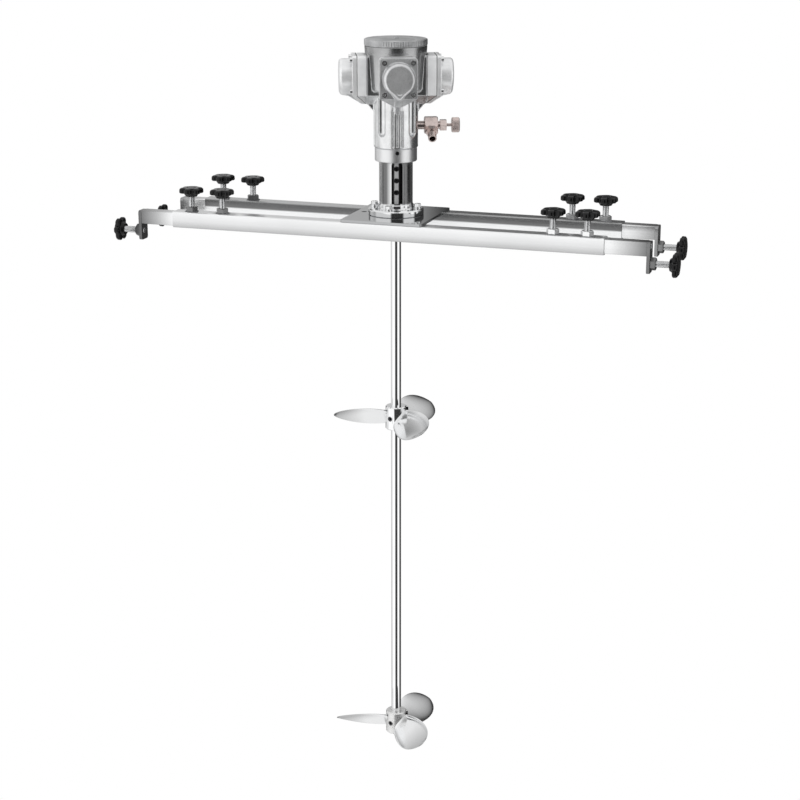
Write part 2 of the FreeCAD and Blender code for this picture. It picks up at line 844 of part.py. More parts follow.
def motor_screws():
    """The socket screws of the four heads and of the top cover."""
    screws = []
    grip = head_plate + gasket_thickness + head_screw_grip - seat_gap
    for name in head_names:
        for y, z in head_screw_places():
            screw = laid(socket_screw(head_screw_d, grip, head_screw_head_d, head_screw_head), X)
            screw.translate(Vector(head_face_r + head_plate, y, axis_z + z))
            screws.append(turned(screw, head_angles[name]))
    seat = cover_thickness - cover_screw_sink
    grip = seat + head_screw_grip - seat_gap
    screw = socket_screw(head_screw_d, grip, head_screw_head_d, head_screw_head)
    for place in cover_screw_places():
        screws.append(moved(screw, place.x, place.y, seam_z + seat))
    return Part.makeCompound(screws)


# Inside the motor

piston_top_r = gasket_r - piston_end_gap
piston_low_r = piston_top_r - piston_length
orbit_r = crank_throw + crank_pin_d / 2


def piston():
    """A cup along +X, open towards the crank."""
    outer_d = cylinder_bore_d - 2 * piston_clearance
    shape = bar(outer_d, piston_length, Vector(piston_low_r, 0, axis_z), X)
    depth = piston_length - piston_crown
    hollow = bar(outer_d - 2 * piston_skirt, depth, Vector(piston_low_r, 0, axis_z), X)
    seat = Part.makeSphere(rod_ball_d / 2 + running, Vector(rod_ball_r, 0, axis_z))
    post_start = rod_ball_r + merge
    post = bar(rod_ball_d + 2 * rod_seat_wall, piston_top_r - post_start, Vector(post_start, 0, axis_z), X)
    return shape.cut(hollow).fuse(post).cut(seat).removeSplitter()


def connecting_rod():
    """Ball end, rod and shoe along +X, the shoe curved to clear the crank pin's orbit."""
    shoe_r = orbit_r + shoe_gap
    shoe_low = axis_z - shoe_height / 2
    shoe = tube(2 * (shoe_r + shoe_thickness), 2 * shoe_r, shoe_height, Vector(0, 0, shoe_low))
    sides = block(0, 2 * shoe_r, -shoe_width / 2, shoe_width / 2, shoe_low, shoe_low + shoe_height)
    shoe = shoe.common(sides)
    rod_start = shoe_r + shoe_thickness / 2
    rod = bar(rod_d, rod_ball_r - rod_start, Vector(rod_start, 0, axis_z), X)
    ball = Part.makeSphere(rod_ball_d / 2, Vector(rod_ball_r, 0, axis_z))
    return shoe.fuse(rod).fuse(ball).removeSplitter()


def on_every_cylinder(piece):
    return Part.makeCompound([turned(piece, angle) for angle in head_angles.values()])


def bearing(low):
    """A shielded ball bearing drawn as one ring, with the step between race and shield on each side."""
    bore_r = spindle_d / 2 + running
    outer_r = bearing_od / 2
    inner_race_r = bore_r + bearing_race
    outer_race_r = outer_r - bearing_race
    high = low + bearing_width
    return revolved([
        (bore_r, low),
        (inner_race_r, low),
        (inner_race_r, low + bearing_groove),
        (outer_race_r, low + bearing_groove),
        (outer_race_r, low),
        (outer_r, low),
        (outer_r, high),
        (outer_race_r, high),
        (outer_race_r, high - bearing_groove),
        (inner_race_r, high - bearing_groove),
        (inner_race_r, high),
        (bore_r, high),
    ])


def main_bearings():
    return Part.makeCompound([bearing(lower_bearing_low), bearing(upper_bearing_low)])


def shaft_seal():
    return tube(seal_od, spindle_d + 2 * running, seal_width, Vector(0, 0, seal_low))


def distributor_sleeve():
    """The bush that the rotary distributor turns in, with the inlet hole and a port to each channel."""
    shape = tube(sleeve_od, distributor_d + 2 * running, distributor_length, Vector(0, 0, sleeve_low))
    inlet = bar(inlet_bore_d, sleeve_od, Vector(0, 0, inlet_z), X)
    shape = shape.cut(turned(inlet, head_turn))
    port = bar(sleeve_port_d, sleeve_od, Vector(0, 0, sleeve_low + sleeve_port_rise), X)
    for angle in head_angles.values():
        shape = shape.cut(turned(port, angle))
    return shape


def rotary_distributor():
    """The thick part of the spindle: the inlet's groove, and the slot that feeds a quarter of the ports."""
    length = distributor_length - 2 * distributor_end_gap
    shape = bar(distributor_d, length, Vector(0, 0, sleeve_low + distributor_end_gap))
    core_d = distributor_d - 2 * distributor_groove
    groove = tube(distributor_d, core_d, inlet_bore_d, Vector(0, 0, inlet_z - inlet_bore_d / 2))
    slot_top = sleeve_low + sleeve_port_rise + sleeve_port_d / 2
    slot = tube(distributor_d, core_d, slot_top - inlet_z, Vector(0, 0, inlet_z))
    quarter = block(0, distributor_d, distributor_land, distributor_d, inlet_z, slot_top)
    return shape.cut(groove).cut(slot.common(quarter))


def crankshaft():
    web_low = upper_bearing_low + bearing_width + crank_web_gap
    spindle = bar(spindle_d, web_low - spindle_low, Vector(0, 0, spindle_low))
    web = bar(2 * crank_web_r, crank_web, Vector(0, 0, web_low))
    relief = bar(2 * crank_web_r, crank_web, Vector(crank_relief, 0, web_low))
    pin_boss = bar(crank_pin_d + 2 * crank_pin_boss, crank_web, Vector(crank_throw, 0, web_low))
    pin = bar(crank_pin_d, crank_pin_length, Vector(crank_throw, 0, web_low + crank_web))
    web = web.cut(relief).fuse(pin_boss).fuse(pin)
    return spindle.fuse(rotary_distributor()).fuse(web).removeSplitter()


def silencer_place():
    place = on_circle(2 * silencer_r, 1, head_turn + silencer_angle)[0]
    return place + Vector(0, 0, axis_z - head_height / 2 - silencer_boss_drop)


def exhaust_silencer():
    """Hexagonal base and porous cone, hanging from the boss under the crankcase."""
    centre = silencer_place()
    low = centre.z - silencer_base
    base = moved(hexagon(silencer_d, silencer_base), centre.x, centre.y, low)
    tip = Vector(centre.x, centre.y, low - silencer_cone)
    cone = Part.makeCone(silencer_tip_d / 2, silencer_d / 2 - silencer_shoulder, silencer_cone, tip)
    return base.fuse(cone).removeSplitter()


# Inlet valve, drawn along +X at the inlet's height and turned with the motor

valve_end = valve_start + valve_length
bonnet_start = valve_end + bonnet_neck
bonnet_end = bonnet_start + bonnet_length
valve_knob_start = bonnet_end + valve_stem_reach
port_direction = Vector(0, -cos(radians(port_tilt)), -sin(radians(port_tilt)))


def on_inlet(shape):
    """Moves a piece drawn about the origin's X axis to the inlet's height and turn."""
    return turned(moved(shape, z=inlet_z), head_turn)


def along_x(shape, start):
    return moved(laid(shape, X), x=start)


def hexagon_along_x(flats, length, start):
    """A hexagonal bar along +X with a flat on top."""
    return along_x(turned(hexagon(flats, length), 30), start)


def inlet_nipple():
    inner_end = neck_r - nipple_inset
    outer = bar(nipple_d - 2 * running, valve_start - inner_end, Vector(inner_end, 0, 0), X)
    bore = bar(valve_bore_d, valve_start, ORIGIN, X)
    return on_inlet(outer.cut(bore))


def valve_body():
    shape = hexagon_along_x(valve_flats, valve_length, valve_start)
    low_r = valve_flats / 2 - valve_bevel_inset
    high_r = low_r + valve_bevel_rise
    turning = revolved([
        (0, 0),
        (low_r, 0),
        (high_r, valve_bevel),
        (high_r, valve_length - valve_bevel),
        (low_r, valve_length),
        (0, valve_length),
    ])
    shape = shape.common(along_x(turning, valve_start))
    shape = shape.cut(bar(valve_bore_d, valve_length, Vector(valve_start, 0, 0), X))
    middle_x = (valve_start + valve_end) / 2
    shape = shape.cut(bar(port_d, port_length, Vector(middle_x, 0, 0), port_direction))
    return on_inlet(shape.removeSplitter())


def valve_bonnet():
    neck = bar(bonnet_neck_d, bonnet_neck, Vector(valve_end, 0, 0), X)
    nut_part = hexagon_along_x(bonnet_flats, bonnet_length, bonnet_start)
    bore = bar(valve_stem_d + 2 * running, bonnet_end - valve_end, Vector(valve_end, 0, 0), X)
    return on_inlet(neck.fuse(nut_part).cut(bore).removeSplitter())


def hose_port():
    """A short tube that points forwards and down, with a hexagon at its root."""
    shape = bar(port_d - 2 * running, port_length - port_inset, Vector(0, 0, port_inset))
    collar = moved(hexagon(port_hex_flats, port_hex_length), z=valve_flats / 2)
    bore = bar(port_bore_d, port_length)
    shape = laid(shape.fuse(collar).cut(bore), port_direction)
    return on_inlet(moved(shape, x=(valve_start + valve_end) / 2).removeSplitter())


def valve_needle():
    """The needle and its stem."""
    point = Vector(valve_end - needle_length, 0, 0)
    needle = Part.makeCone(valve_stem_d / 4, valve_stem_d / 2, needle_length, point, X)
    stem_end = valve_knob_start + valve_knob_socket
    stem = bar(valve_stem_d, stem_end - valve_end, Vector(valve_end, 0, 0), X)
    return on_inlet(needle.fuse(stem).removeSplitter())


def valve_knob():
    shape = bar(valve_knob_d, valve_knob_length, Vector(valve_knob_start, 0, 0), X)
    shape = shape.makeChamfer(valve_knob_edge, circles(shape))
    depth = valve_knob_socket + seat_gap
    socket = bar(valve_stem_d + 2 * running, depth, Vector(valve_knob_start, 0, 0), X)
    return on_inlet(shape.cut(socket))


# Rotor

def coupling():
    shape = bar(coupling_d, coupling_length, Vector(0, 0, coupling_low))
    shape = shape.makeChamfer(coupling_edge, circles(shape))
    shape = shape.cut(bar(shaft_d + 2 * hub_fit, spindle_low - coupling_low, Vector(0, 0, coupling_low)))
    shape = shape.cut(bar(spindle_d + 2 * hub_fit, spindle_lock, Vector(0, 0, spindle_low)))
    for z in coupling_screw_heights():
        hole = bar(hub_screw_d + 2 * running, coupling_d, Vector(0, 0, z), X)
        shape = shape.cut(turned(hole, head_turn - 90))
    return shape


def coupling_screw_heights():
    first = coupling_low + coupling_screw_first
    return [first + k * coupling_screw_pitch for k in range(coupling_screw_count)]


def agitator_shaft():
    return bar(shaft_d, shaft_top + drop, Vector(0, 0, -drop))


def blade_section(r):
    """A thin cambered section across a blade that lies along +X."""
    share = (r - blade_root_r) / blade_length
    if share < blade_widest:
        swell = sin(pi / 2 * share / blade_widest)
        chord = blade_root_chord + (blade_chord - blade_root_chord) * swell
    else:
        fall = (share - blade_widest) / (1 - blade_widest)
        chord = blade_chord * max(sqrt(max(1 - fall ** 2, 0)), blade_tip_share)
    pitch = radians(blade_root_pitch + (blade_tip_pitch - blade_root_pitch) * share)
    thickness = blade_thickness * (1 - blade_thinning * share)
    along = Vector(0, cos(pitch), sin(pitch))
    normal = Vector(0, -sin(pitch), cos(pitch))
    camber = blade_camber * chord / blade_chord
    middle = Vector(r, 0, 0)
    low = middle - along * (chord / 2)
    high = middle + along * (chord / 2)
    upper = Part.Arc(low, middle + normal * (camber + thickness / 2), high).toShape()
    lower = Part.Arc(high, middle + normal * (camber - thickness / 2), low).toShape()
    return Part.Wire([upper, lower])


def blade():
    """Sections that stand closer together towards the round tip, lofted."""
    sections = []
    for k in range(blade_sections):
        share = sin(pi / 2 * k / (blade_sections - 1))
        sections.append(blade_section(blade_root_r + blade_length * share))
    return Part.makeLoft(sections, True, False)


def hub_screw_angles():
    """The two hub screws sit midway between blades, the second on a small raised pad."""
    gap = 360 / blade_count
    return [blade_turn - 1.5 * gap, blade_turn - 0.5 * gap]


def hub_screw_height(index):
    if index == 0:
        return 0.0
    return hub_height / 2 - hub_screw_boss_d / 2 - hub_screw_margin


def propeller(centre_z):
    hub = bar(hub_d, hub_height, Vector(0, 0, -hub_height / 2))
    hub = hub.makeChamfer(hub_edge, circles(hub))
    for index, angle in enumerate(hub_screw_angles()):
        if index:
            base = Vector(0, 0, hub_screw_height(index))
            pad = bar(hub_screw_boss_d, hub_d / 2 + hub_screw_boss, base, X)
            hub = hub.fuse(turned(pad, angle))
    for k in range(blade_count):
        hub = hub.fuse(turned(blade(), blade_turn + 360 * k / blade_count))
    hub = hub.cut(bar(shaft_d + 2 * hub_fit, 2 * hub_height, Vector(0, 0, -hub_height)))
    for index, angle in enumerate(hub_screw_angles()):
        hole = bar(hub_screw_d + 2 * running, hub_d, Vector(0, 0, hub_screw_height(index)), X)
        hub = hub.cut(turned(hole, angle))
    return moved(hub.removeSplitter(), z=centre_z)


def rotor_set_screws():
    screws = []
    length = (coupling_d - shaft_d) / 2 - hub_fit - hub_screw_sink
    for z in coupling_screw_heights():
        screw = laid(socket_screw(hub_screw_d, length), X)
        screw.translate(Vector(coupling_d / 2 - hub_screw_sink, 0, z))
        screws.append(turned(screw, head_turn - 90))
    length = (hub_d - shaft_d) / 2 - hub_fit - hub_screw_sink
    for centre_z in (upper_hub_z, lower_hub_z):
        for index, angle in enumerate(hub_screw_angles()):
            screw = laid(socket_screw(hub_screw_d, length), X)
            screw.translate(Vector(hub_d / 2 - hub_screw_sink, 0, centre_z + hub_screw_height(index)))
            screws.append(turned(screw, angle))
    return Part.makeCompound(screws)


def all_parts():
    parts = {
        "outer_rail_front": outer_rail("front"),
        "outer_rail_rear": outer_rail("rear"),
        "mounting_plate": mounting_plate(),
        "pedestal": pedestal(),
        "flange_bolts": flange_bolts(),
        "collar_screws": collar_screws(),
        "motor_housing": motor_housing(),
        "top_cover": top_cover(),
        "motor_screws": motor_screws(),
        "head_gaskets": on_every_cylinder(head_gasket()),
        "pistons": on_every_cylinder(piston()),
        "connecting_rods": on_every_cylinder(connecting_rod()),
        "main_bearings": main_bearings(),
        "shaft_seal": shaft_seal(),
        "distributor_sleeve": distributor_sleeve(),
        "exhaust_silencer": exhaust_silencer(),
        "inlet_nipple": inlet_nipple(),
        "valve_body": valve_body(),
        "valve_bonnet": valve_bonnet(),
        "hose_port": hose_port(),
        "valve_needle": valve_needle(),
        "valve_knob": valve_knob(),
        "crankshaft": crankshaft(),
        "coupling": coupling(),
        "agitator_shaft": agitator_shaft(),
        "upper_propeller": propeller(upper_hub_z),
        "lower_propeller": propeller(lower_hub_z),
        "rotor_set_screws": rotor_set_screws(),
    }
    head = cylinder_head()
    for name in head_names:
        parts["cylinder_head_" + name] = turned(head, head_angles[name])
    for side in ("front", "rear"):
        for end, end_name in ((-1, "left"), (1, "right")):
            corner = side + "_" + end_name
            parts["inner_rail_" + corner] = inner_rail(side, end)
            parts["clamp_stud_" + corner], parts["clamp_knob_" + corner] = clamp_screw(side, end)
            for index, place in enumerate(("outboard", "inboard")):
                name = corner + "_" + place
                parts["lock_stud_" + name], parts["lock_knob_" + name] = lock_screw(side, end, index)
    return parts


os.makedirs("parts", exist_ok=True)
for node, shape in all_parts().items():
    shape.exportStep("parts/" + node + ".step")
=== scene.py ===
"""Looks of a portable tank agitator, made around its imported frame.

The frame is in metres, +Z up, X along the rails and the front rail on the -Y side. The origin is where the
shaft's axis crosses the plane of the outer rails' undersides. Pieces are drawn in millimetres, and become
metres when they are placed.
"""
import json
from math import atan2, cos, exp, pi, radians, sin, sqrt

import bmesh
import bpy
from mathutils import Matrix, Vector


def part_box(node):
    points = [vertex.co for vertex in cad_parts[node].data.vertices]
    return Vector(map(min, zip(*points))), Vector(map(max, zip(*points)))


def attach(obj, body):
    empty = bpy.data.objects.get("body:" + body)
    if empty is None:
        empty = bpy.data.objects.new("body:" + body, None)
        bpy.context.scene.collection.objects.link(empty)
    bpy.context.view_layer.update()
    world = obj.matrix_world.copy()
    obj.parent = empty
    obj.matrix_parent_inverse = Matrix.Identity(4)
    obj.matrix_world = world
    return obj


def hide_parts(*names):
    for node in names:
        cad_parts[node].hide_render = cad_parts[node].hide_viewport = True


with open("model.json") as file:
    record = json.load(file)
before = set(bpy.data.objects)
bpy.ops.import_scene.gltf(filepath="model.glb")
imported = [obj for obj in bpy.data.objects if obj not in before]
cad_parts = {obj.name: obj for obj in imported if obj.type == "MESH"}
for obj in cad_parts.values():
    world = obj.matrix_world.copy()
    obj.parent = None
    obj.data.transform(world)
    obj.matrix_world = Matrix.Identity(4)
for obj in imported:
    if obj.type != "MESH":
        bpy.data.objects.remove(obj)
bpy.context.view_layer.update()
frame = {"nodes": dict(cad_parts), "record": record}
nodes = frame["nodes"]
body_of_node = {n: body for body, names in frame["record"]["behaviour"]["bodies"].items() for n in names}
slot_of_node = {row["node"]: row["material_slot"] for row in frame["record"]["subparts"]}

# Camera
camera_azimuth = 18.27          # degrees from the front rail's normal, towards +X
camera_pitch = 16.22            # degrees that it looks down
camera_distance = 3.0           # from the point that it aims at, m
aim_height = -0.27225           # of that point, m
aim_side = 0.0063               # how far it lies to the camera's right of the shaft's axis, m
lens = 84.63
sensor_width = 36.0

# Sizes that finishes and pieces share, mm
rail_top = 25.0
rail_side = 62.5                # from the shaft's axis to the middle of a rail
rail_half_length = 345.0
inner_rail_ends = (-413.0, 421.0)
pedestal_foot = 29.0
pedestal_top = 133.0
crankcase_foot = 205.0
crankcase_top = 287.0

# Edges
edge_break = 0.25               # usual broken edge on machined pieces, mm
sharp_turn = 32.0               # an edge that turns by more than this stays sharp, degrees
broken_turn = 35.0              # an edge that turns by more than this is broken, degrees
flat_turn = 0.5                 # faces that turn by less than this are one flat, degrees
merge_distance = 0.002          # points of a CAD node closer than this are one, mm
spin_merge_distance = 0.0005    # and those of a turned form


def span(node):
    """Lowest and highest corners of a node, in millimetres."""
    low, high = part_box(node)
    return low * 1000, high * 1000


def middle(node):
    low, high = span(node)
    return (low + high) / 2


# Materials

noise_low = 0.3                 # what a noise mostly stays between
noise_high = 0.7


def grey(value):
    return (value, value, value, 1)


def set_stops(ramp, stops):
    """Gives a colour ramp its (position, grey or colour) stops."""
    elements = ramp.color_ramp.elements
    while len(elements) < len(stops):
        elements.new(0.5)
    for element, (position, value) in zip(elements, stops):
        element.position = position
        element.color = grey(value) if isinstance(value, float) else (*value, 1)


def turn_about_z(tree, place):
    """A point's turn about +Z: 0 and 1 at the back (+Y), a half at the front and three quarters at +X."""
    split = tree.nodes.new("ShaderNodeSeparateXYZ")
    tree.links.new(place, split.inputs["Vector"])
    back = tree.nodes.new("ShaderNodeMath")
    back.operation = "MULTIPLY"
    back.inputs[1].default_value = -1
    tree.links.new(split.outputs["Y"], back.inputs[0])
    turn = tree.nodes.new("ShaderNodeMath")
    turn.operation = "ARCTAN2"
    tree.links.new(split.outputs["X"], turn.inputs[0])
    tree.links.new(back.outputs[0], turn.inputs[1])
    share = tree.nodes.new("ShaderNodeMapRange")
    share.inputs["From Min"].default_value = -pi
    share.inputs["From Max"].default_value = pi
    tree.links.new(turn.outputs[0], share.inputs["Value"])
    return share.outputs["Result"]


def azimuth_stops(bands):
    """Ramp stops for (angle, grey) bands, in degrees from the camera's azimuth towards its right."""
    return sorted((((angle + camera_azimuth + 180) / 360) % 1.0, value) for angle, value in bands)


class Finish:
    """A metal or plastic finish under construction: its material, node tree and shader."""

    def __init__(self, name, color, metallic, roughness):
        self.material = bpy.data.materials.new(name)
        self.material.use_nodes = True
        self.material.diffuse_color = (*color, 1)
        self.tree = self.material.node_tree
        self.shader = self.tree.nodes["Principled BSDF"]
        self.shader.inputs["Base Color"].default_value = (*color, 1)
        self.shader.inputs["Metallic"].default_value = metallic
        self.shader.inputs["Roughness"].default_value = roughness
        self.place = self.node("ShaderNodeTexCoord").outputs["Object"]

    def node(self, kind, **settings):
        made = self.tree.nodes.new(kind)
        for key, value in settings.items():
            setattr(made, key, value)
        return made

    def link(self, source, target):
        self.tree.links.new(source, target)

    def noise(self, scale, detail=3.0, stretch=(1, 1, 1)):
        """Noise on the object's own coordinates, stretched where a stretch is under 1."""
        mapping = self.node("ShaderNodeMapping")
        mapping.inputs["Scale"].default_value = stretch
        self.link(self.place, mapping.inputs["Vector"])
        texture = self.node("ShaderNodeTexNoise")
        texture.inputs["Scale"].default_value = scale
        texture.inputs["Detail"].default_value = detail
        self.link(mapping.outputs["Vector"], texture.inputs["Vector"])
        return texture.outputs["Fac"]

    def along(self, axis, low, high):
        """How far a point lies from low to high along an axis, both in millimetres."""
        split = self.node("ShaderNodeSeparateXYZ")
        self.link(self.place, split.inputs["Vector"])
        return self.between(split.outputs[axis], low, high)

    def radial(self, low, high):
        """How far a point lies from the shaft's axis, from low to high in millimetres."""
        flat = self.node("ShaderNodeVectorMath", operation="MULTIPLY")
        flat.inputs[1].default_value = (1, 1, 0)
        self.link(self.place, flat.inputs[0])
        reach = self.node("ShaderNodeVectorMath", operation="LENGTH")
        self.link(flat.outputs["Vector"], reach.inputs[0])
        return self.between(reach.outputs["Value"], low, high)

    def between(self, metres, low, high):
        """How far a measure in metres lies from low to high in millimetres."""
        made = self.node("ShaderNodeMapRange")
        made.inputs["From Min"].default_value = low / 1000
        made.inputs["From Max"].default_value = high / 1000
        self.link(metres, made.inputs["Value"])
        return made.outputs["Result"]

    def around(self):
        """Turn about the shaft's axis, as turn_about_z gives it."""
        return turn_about_z(self.tree, self.place)

    def ramp(self, factor, stops):
        """A colour ramp with (position, grey or colour) stops."""
        made = self.node("ShaderNodeValToRGB")
        set_stops(made, stops)
        self.link(factor, made.inputs["Fac"])
        return made.outputs["Color"]

    def rough(self, noise, low, high):
        """Lets a noise change the roughness between two values."""
        stops = [(noise_low, float(low)), (noise_high, float(high))]
        self.link(self.ramp(noise, stops), self.shader.inputs["Roughness"])

    def tint(self, noise, dark, light):
        """Lets a noise change the colour between two."""
        stops = [(noise_low, dark), (noise_high, light)]
        self.link(self.ramp(noise, stops), self.shader.inputs["Base Color"])

    def shade(self, factor, stops, where=None):
        """Paints light and shade into the colour: multiplies the colour so far by a ramp of greys, all
        over or only where a mask is 1.
        """
        mix = self.node("ShaderNodeMix", data_type="RGBA", blend_type="MULTIPLY")
        mix.inputs["Factor"].default_value = 1
        if where:
            self.link(where, mix.inputs["Factor"])
        target = self.shader.inputs["Base Color"]
        if target.links:
            self.link(target.links[0].from_socket, mix.inputs["A"])
        else:
            mix.inputs["A"].default_value = target.default_value
        self.link(self.ramp(factor, stops), mix.inputs["B"])
        self.link(mix.outputs["Result"], target)

    def bump(self, factor, strength, distance):
        bump = self.node("ShaderNodeBump")
        bump.inputs["Strength"].default_value = strength
        bump.inputs["Distance"].default_value = distance
        self.link(factor, bump.inputs["Height"])
        before = self.shader.inputs["Normal"].links
        if before:
            self.link(before[0].from_socket, bump.inputs["Normal"])
        self.link(bump.outputs["Normal"], self.shader.inputs["Normal"])


def brushed(name, color, roughness, stretch, depth):
    """Polished steel with fine brush lines, short across and long along the stretch."""
    finish = Finish(name, color, 1.0, roughness)
    lines = finish.noise(900, 2.0, stretch)
    finish.rough(lines, roughness * 0.75, roughness * 1.35)
    finish.bump(lines, 0.12, depth)
    cloud = finish.noise(9)
    finish.tint(cloud, tuple(c * 0.94 for c in color), color)
    return finish


def casting(name, dark, light, roughness, grain, depth, metallic=1.0):
    """Cast aluminium: a fine grain over a slow change of tone."""
    finish = Finish(name, light, metallic, roughness)
    fine = finish.noise(grain, 4.0)
    finish.bump(fine, 0.35, depth)
    slow = finish.noise(45, 5.0)
    finish.tint(slow, dark, light)
    finish.rough(fine, roughness * 0.85, roughness * 1.2)
    return finish


def plated(name, color, roughness):
    """Bright plating with faint handling marks."""
    finish = Finish(name, color, 1.0, roughness)
    marks = finish.noise(160, 4.0)
    finish.rough(marks, roughness * 0.7, roughness * 1.6)
    finish.tint(finish.noise(60), tuple(c * 0.88 for c in color), color)
    return finish


def moulded(name, color, roughness):
    """Glossy moulded plastic with a very slight orange peel."""
    finish = Finish(name, color, 0.0, roughness)
    finish.shader.inputs["Specular IOR Level"].default_value = 0.22
    finish.shader.inputs["Coat Weight"].default_value = 0.12
    finish.shader.inputs["Coat Roughness"].default_value = 0.1
    peel = finish.noise(420, 2.0)
    finish.bump(peel, 0.12, 0.0002)
    finish.rough(finish.noise(90, 3.0), roughness * 0.8, roughness * 1.3)
    return finish


def plain(name, color, metallic, roughness, grain, depth):
    """Rubber, sheet or sintered metal: a matt grain over a slight change of tone."""
    finish = Finish(name, color, metallic, roughness)
    fine = finish.noise(grain, 3.0)
    finish.bump(fine, 0.25, depth)
    finish.tint(finish.noise(60, 3.0), tuple(c * 0.85 for c in color), color)
    finish.rough(fine, roughness * 0.85, roughness * 1.15)
    return finish


def rail_finish(name):
    """Brushed stainless tube, satin enough to stay light where it mirrors a dark side."""
    finish = brushed(name, (0.87, 0.875, 0.88), 0.17, (0.012, 1, 1), 0.00004)
    finish.shader.inputs["Metallic"].default_value = 0.78
    return finish


def paint_nut_shade(finish):
    """Paints shade on the welded nuts of the left end, so that they stay darker than those of the right.
    """
    above = finish.ramp(finish.along("Z", 0, 2 * rail_top), [(0.50, 0.0), (0.52, 1.0)])
    lengthwise = finish.along("X", -rail_half_length, rail_half_length)
    # painted shade: the nuts above the rail's top grow darker towards the left end
    finish.shade(lengthwise, [(0.3, 0.22), (0.7, 1.0)], above)


def front_rail():
    """The front outer tube, with painted shade that darkens it towards its underside."""
    finish = rail_finish("front_rail_steel")
    # painted shade: darker towards the underside
    finish.shade(finish.along("Z", 0, rail_top), [(0.0, 0.52), (0.45, 0.84), (1.0, 1.0)])
    paint_nut_shade(finish)
    return finish


def rear_rail():
    """The rear outer tube, with a painted dark band of shade over the upper half of its sides."""
    finish = rail_finish("rear_rail_steel")
    # painted shade: a dark band over the upper half of the sides, lighter again at the very top
    finish.shade(finish.along("Z", 0, rail_top), [(0.44, 1.0), (0.54, 0.20), (0.95, 0.32), (1.0, 0.6)])
    paint_nut_shade(finish)
    return finish


def inner_rail_finish():
    """The inner tubes, with painted shade at their outer ends and a little towards their undersides."""
    finish = rail_finish("inner_rail_steel")
    # painted shade: dark at both outer ends of the tubes
    ends = [(0.0, 0.05), (0.05, 0.55), (0.08, 1.0), (0.92, 1.0), (0.985, 0.24)]
    finish.shade(finish.along("X", *inner_rail_ends), ends)
    # painted shade: a little darker towards the underside
    finish.shade(finish.along("Z", 0, rail_top), [(0.0, 0.86), (0.5, 1.0)])
    return finish


def pedestal_finish():
    """Turned steel: a polished flange, a brushed post with painted reflection bands round it, and a satin
    collar.
    """
    finish = brushed("pedestal_steel", (0.82, 0.825, 0.83), 0.2, (1, 1, 0.02), 0.00003)
    height = finish.along("Z", pedestal_foot, pedestal_top)
    roughness = [(0.0, 0.07), (0.16, 0.09), (0.2, 0.2), (0.74, 0.22), (0.78, 0.38), (1.0, 0.38)]
    finish.link(finish.ramp(height, roughness), finish.shader.inputs["Roughness"])
    # painted reflection: light and dark bands round the post, at angles counted from the camera's azimuth
    bands = (
        (-180, 0.9), (-75, 0.9), (-50, 0.22), (-34, 0.2), (-16, 0.95),
        (14, 0.95), (22, 0.25), (50, 0.22), (62, 0.9), (179, 0.9),
    )
    # where the painted reflection bands go: the post between flange and collar
    post = finish.ramp(height, [(0.16, 0.0), (0.18, 1.0), (0.79, 1.0), (0.8, 0.0)])
    finish.shade(finish.around(), azimuth_stops(bands), post)
    return finish


def housing_finish():
    """Cast aluminium: painted shade over the crankcase, darker towards its top, and cylinder boxes with
    lighter and more matt milled sides.
    """
    finish = casting("cast_aluminium", (0.66, 0.665, 0.67), (0.84, 0.845, 0.85), 0.25, 1500, 0.00022)
    outside = finish.ramp(finish.radial(40, 60), [(0.44, 0.0), (0.56, 1.0)])
    above = finish.ramp(finish.along("Z", crankcase_foot, crankcase_foot + 20), [(0.4, 0.0), (0.5, 1.0)])
    milled = finish.node("ShaderNodeMath", operation="MULTIPLY")
    finish.link(outside, milled.inputs[0])
    finish.link(above, milled.inputs[1])
    # mask for the painted shade: the crankcase, above its foot and inside the cylinder boxes
    crankcase = finish.node("ShaderNodeMath", operation="SUBTRACT", use_clamp=True)
    finish.link(above, crankcase.inputs[0])
    finish.link(outside, crankcase.inputs[1])
    # painted shade: the crankcase darkens towards its top
    height = finish.along("Z", crankcase_foot, crankcase_top)
    finish.shade(height, [(0.0, 0.75), (1.0, 0.52)], crankcase.outputs[0])
    metallic = finish.ramp(milled.outputs[0], [(0.0, 1.0), (1.0, 0.15)])
    finish.link(metallic, finish.shader.inputs["Metallic"])
    roughness = finish.ramp(milled.outputs[0], [(0.0, 0.26), (1.0, 0.5)])
    finish.link(roughness, finish.shader.inputs["Roughness"])
    return finish


def blade_finish():
    """Polished blades with painted shade, a little darker towards their tips."""
    finish = brushed("blade_steel", (0.88, 0.885, 0.89), 0.11, (1, 1, 0.4), 0.00001)
    # painted shade: darker towards the tips
    finish.shade(finish.radial(40, 100), [(0.2, 1.0), (1.0, 0.55)])
    return finish


def coupling_finish():
    """Satin steel with a painted highlight strip behind each window, between painted dark sides."""
    finish = casting("coupling_steel", (0.86, 0.865, 0.87), (0.94, 0.945, 0.95), 0.2, 900, 0.00005, 0.35)
    # painted highlight: a light strip facing each window, with painted shade on the sides between
    painted_highlight_strips = [
        (0.020, 0.03), (0.030, 1.0), (0.092, 1.0), (0.102, 0.03),
        (0.520, 0.03), (0.530, 1.0), (0.592, 1.0), (0.602, 0.03),
    ]
    finish.shade(finish.around(), painted_highlight_strips)
    return finish


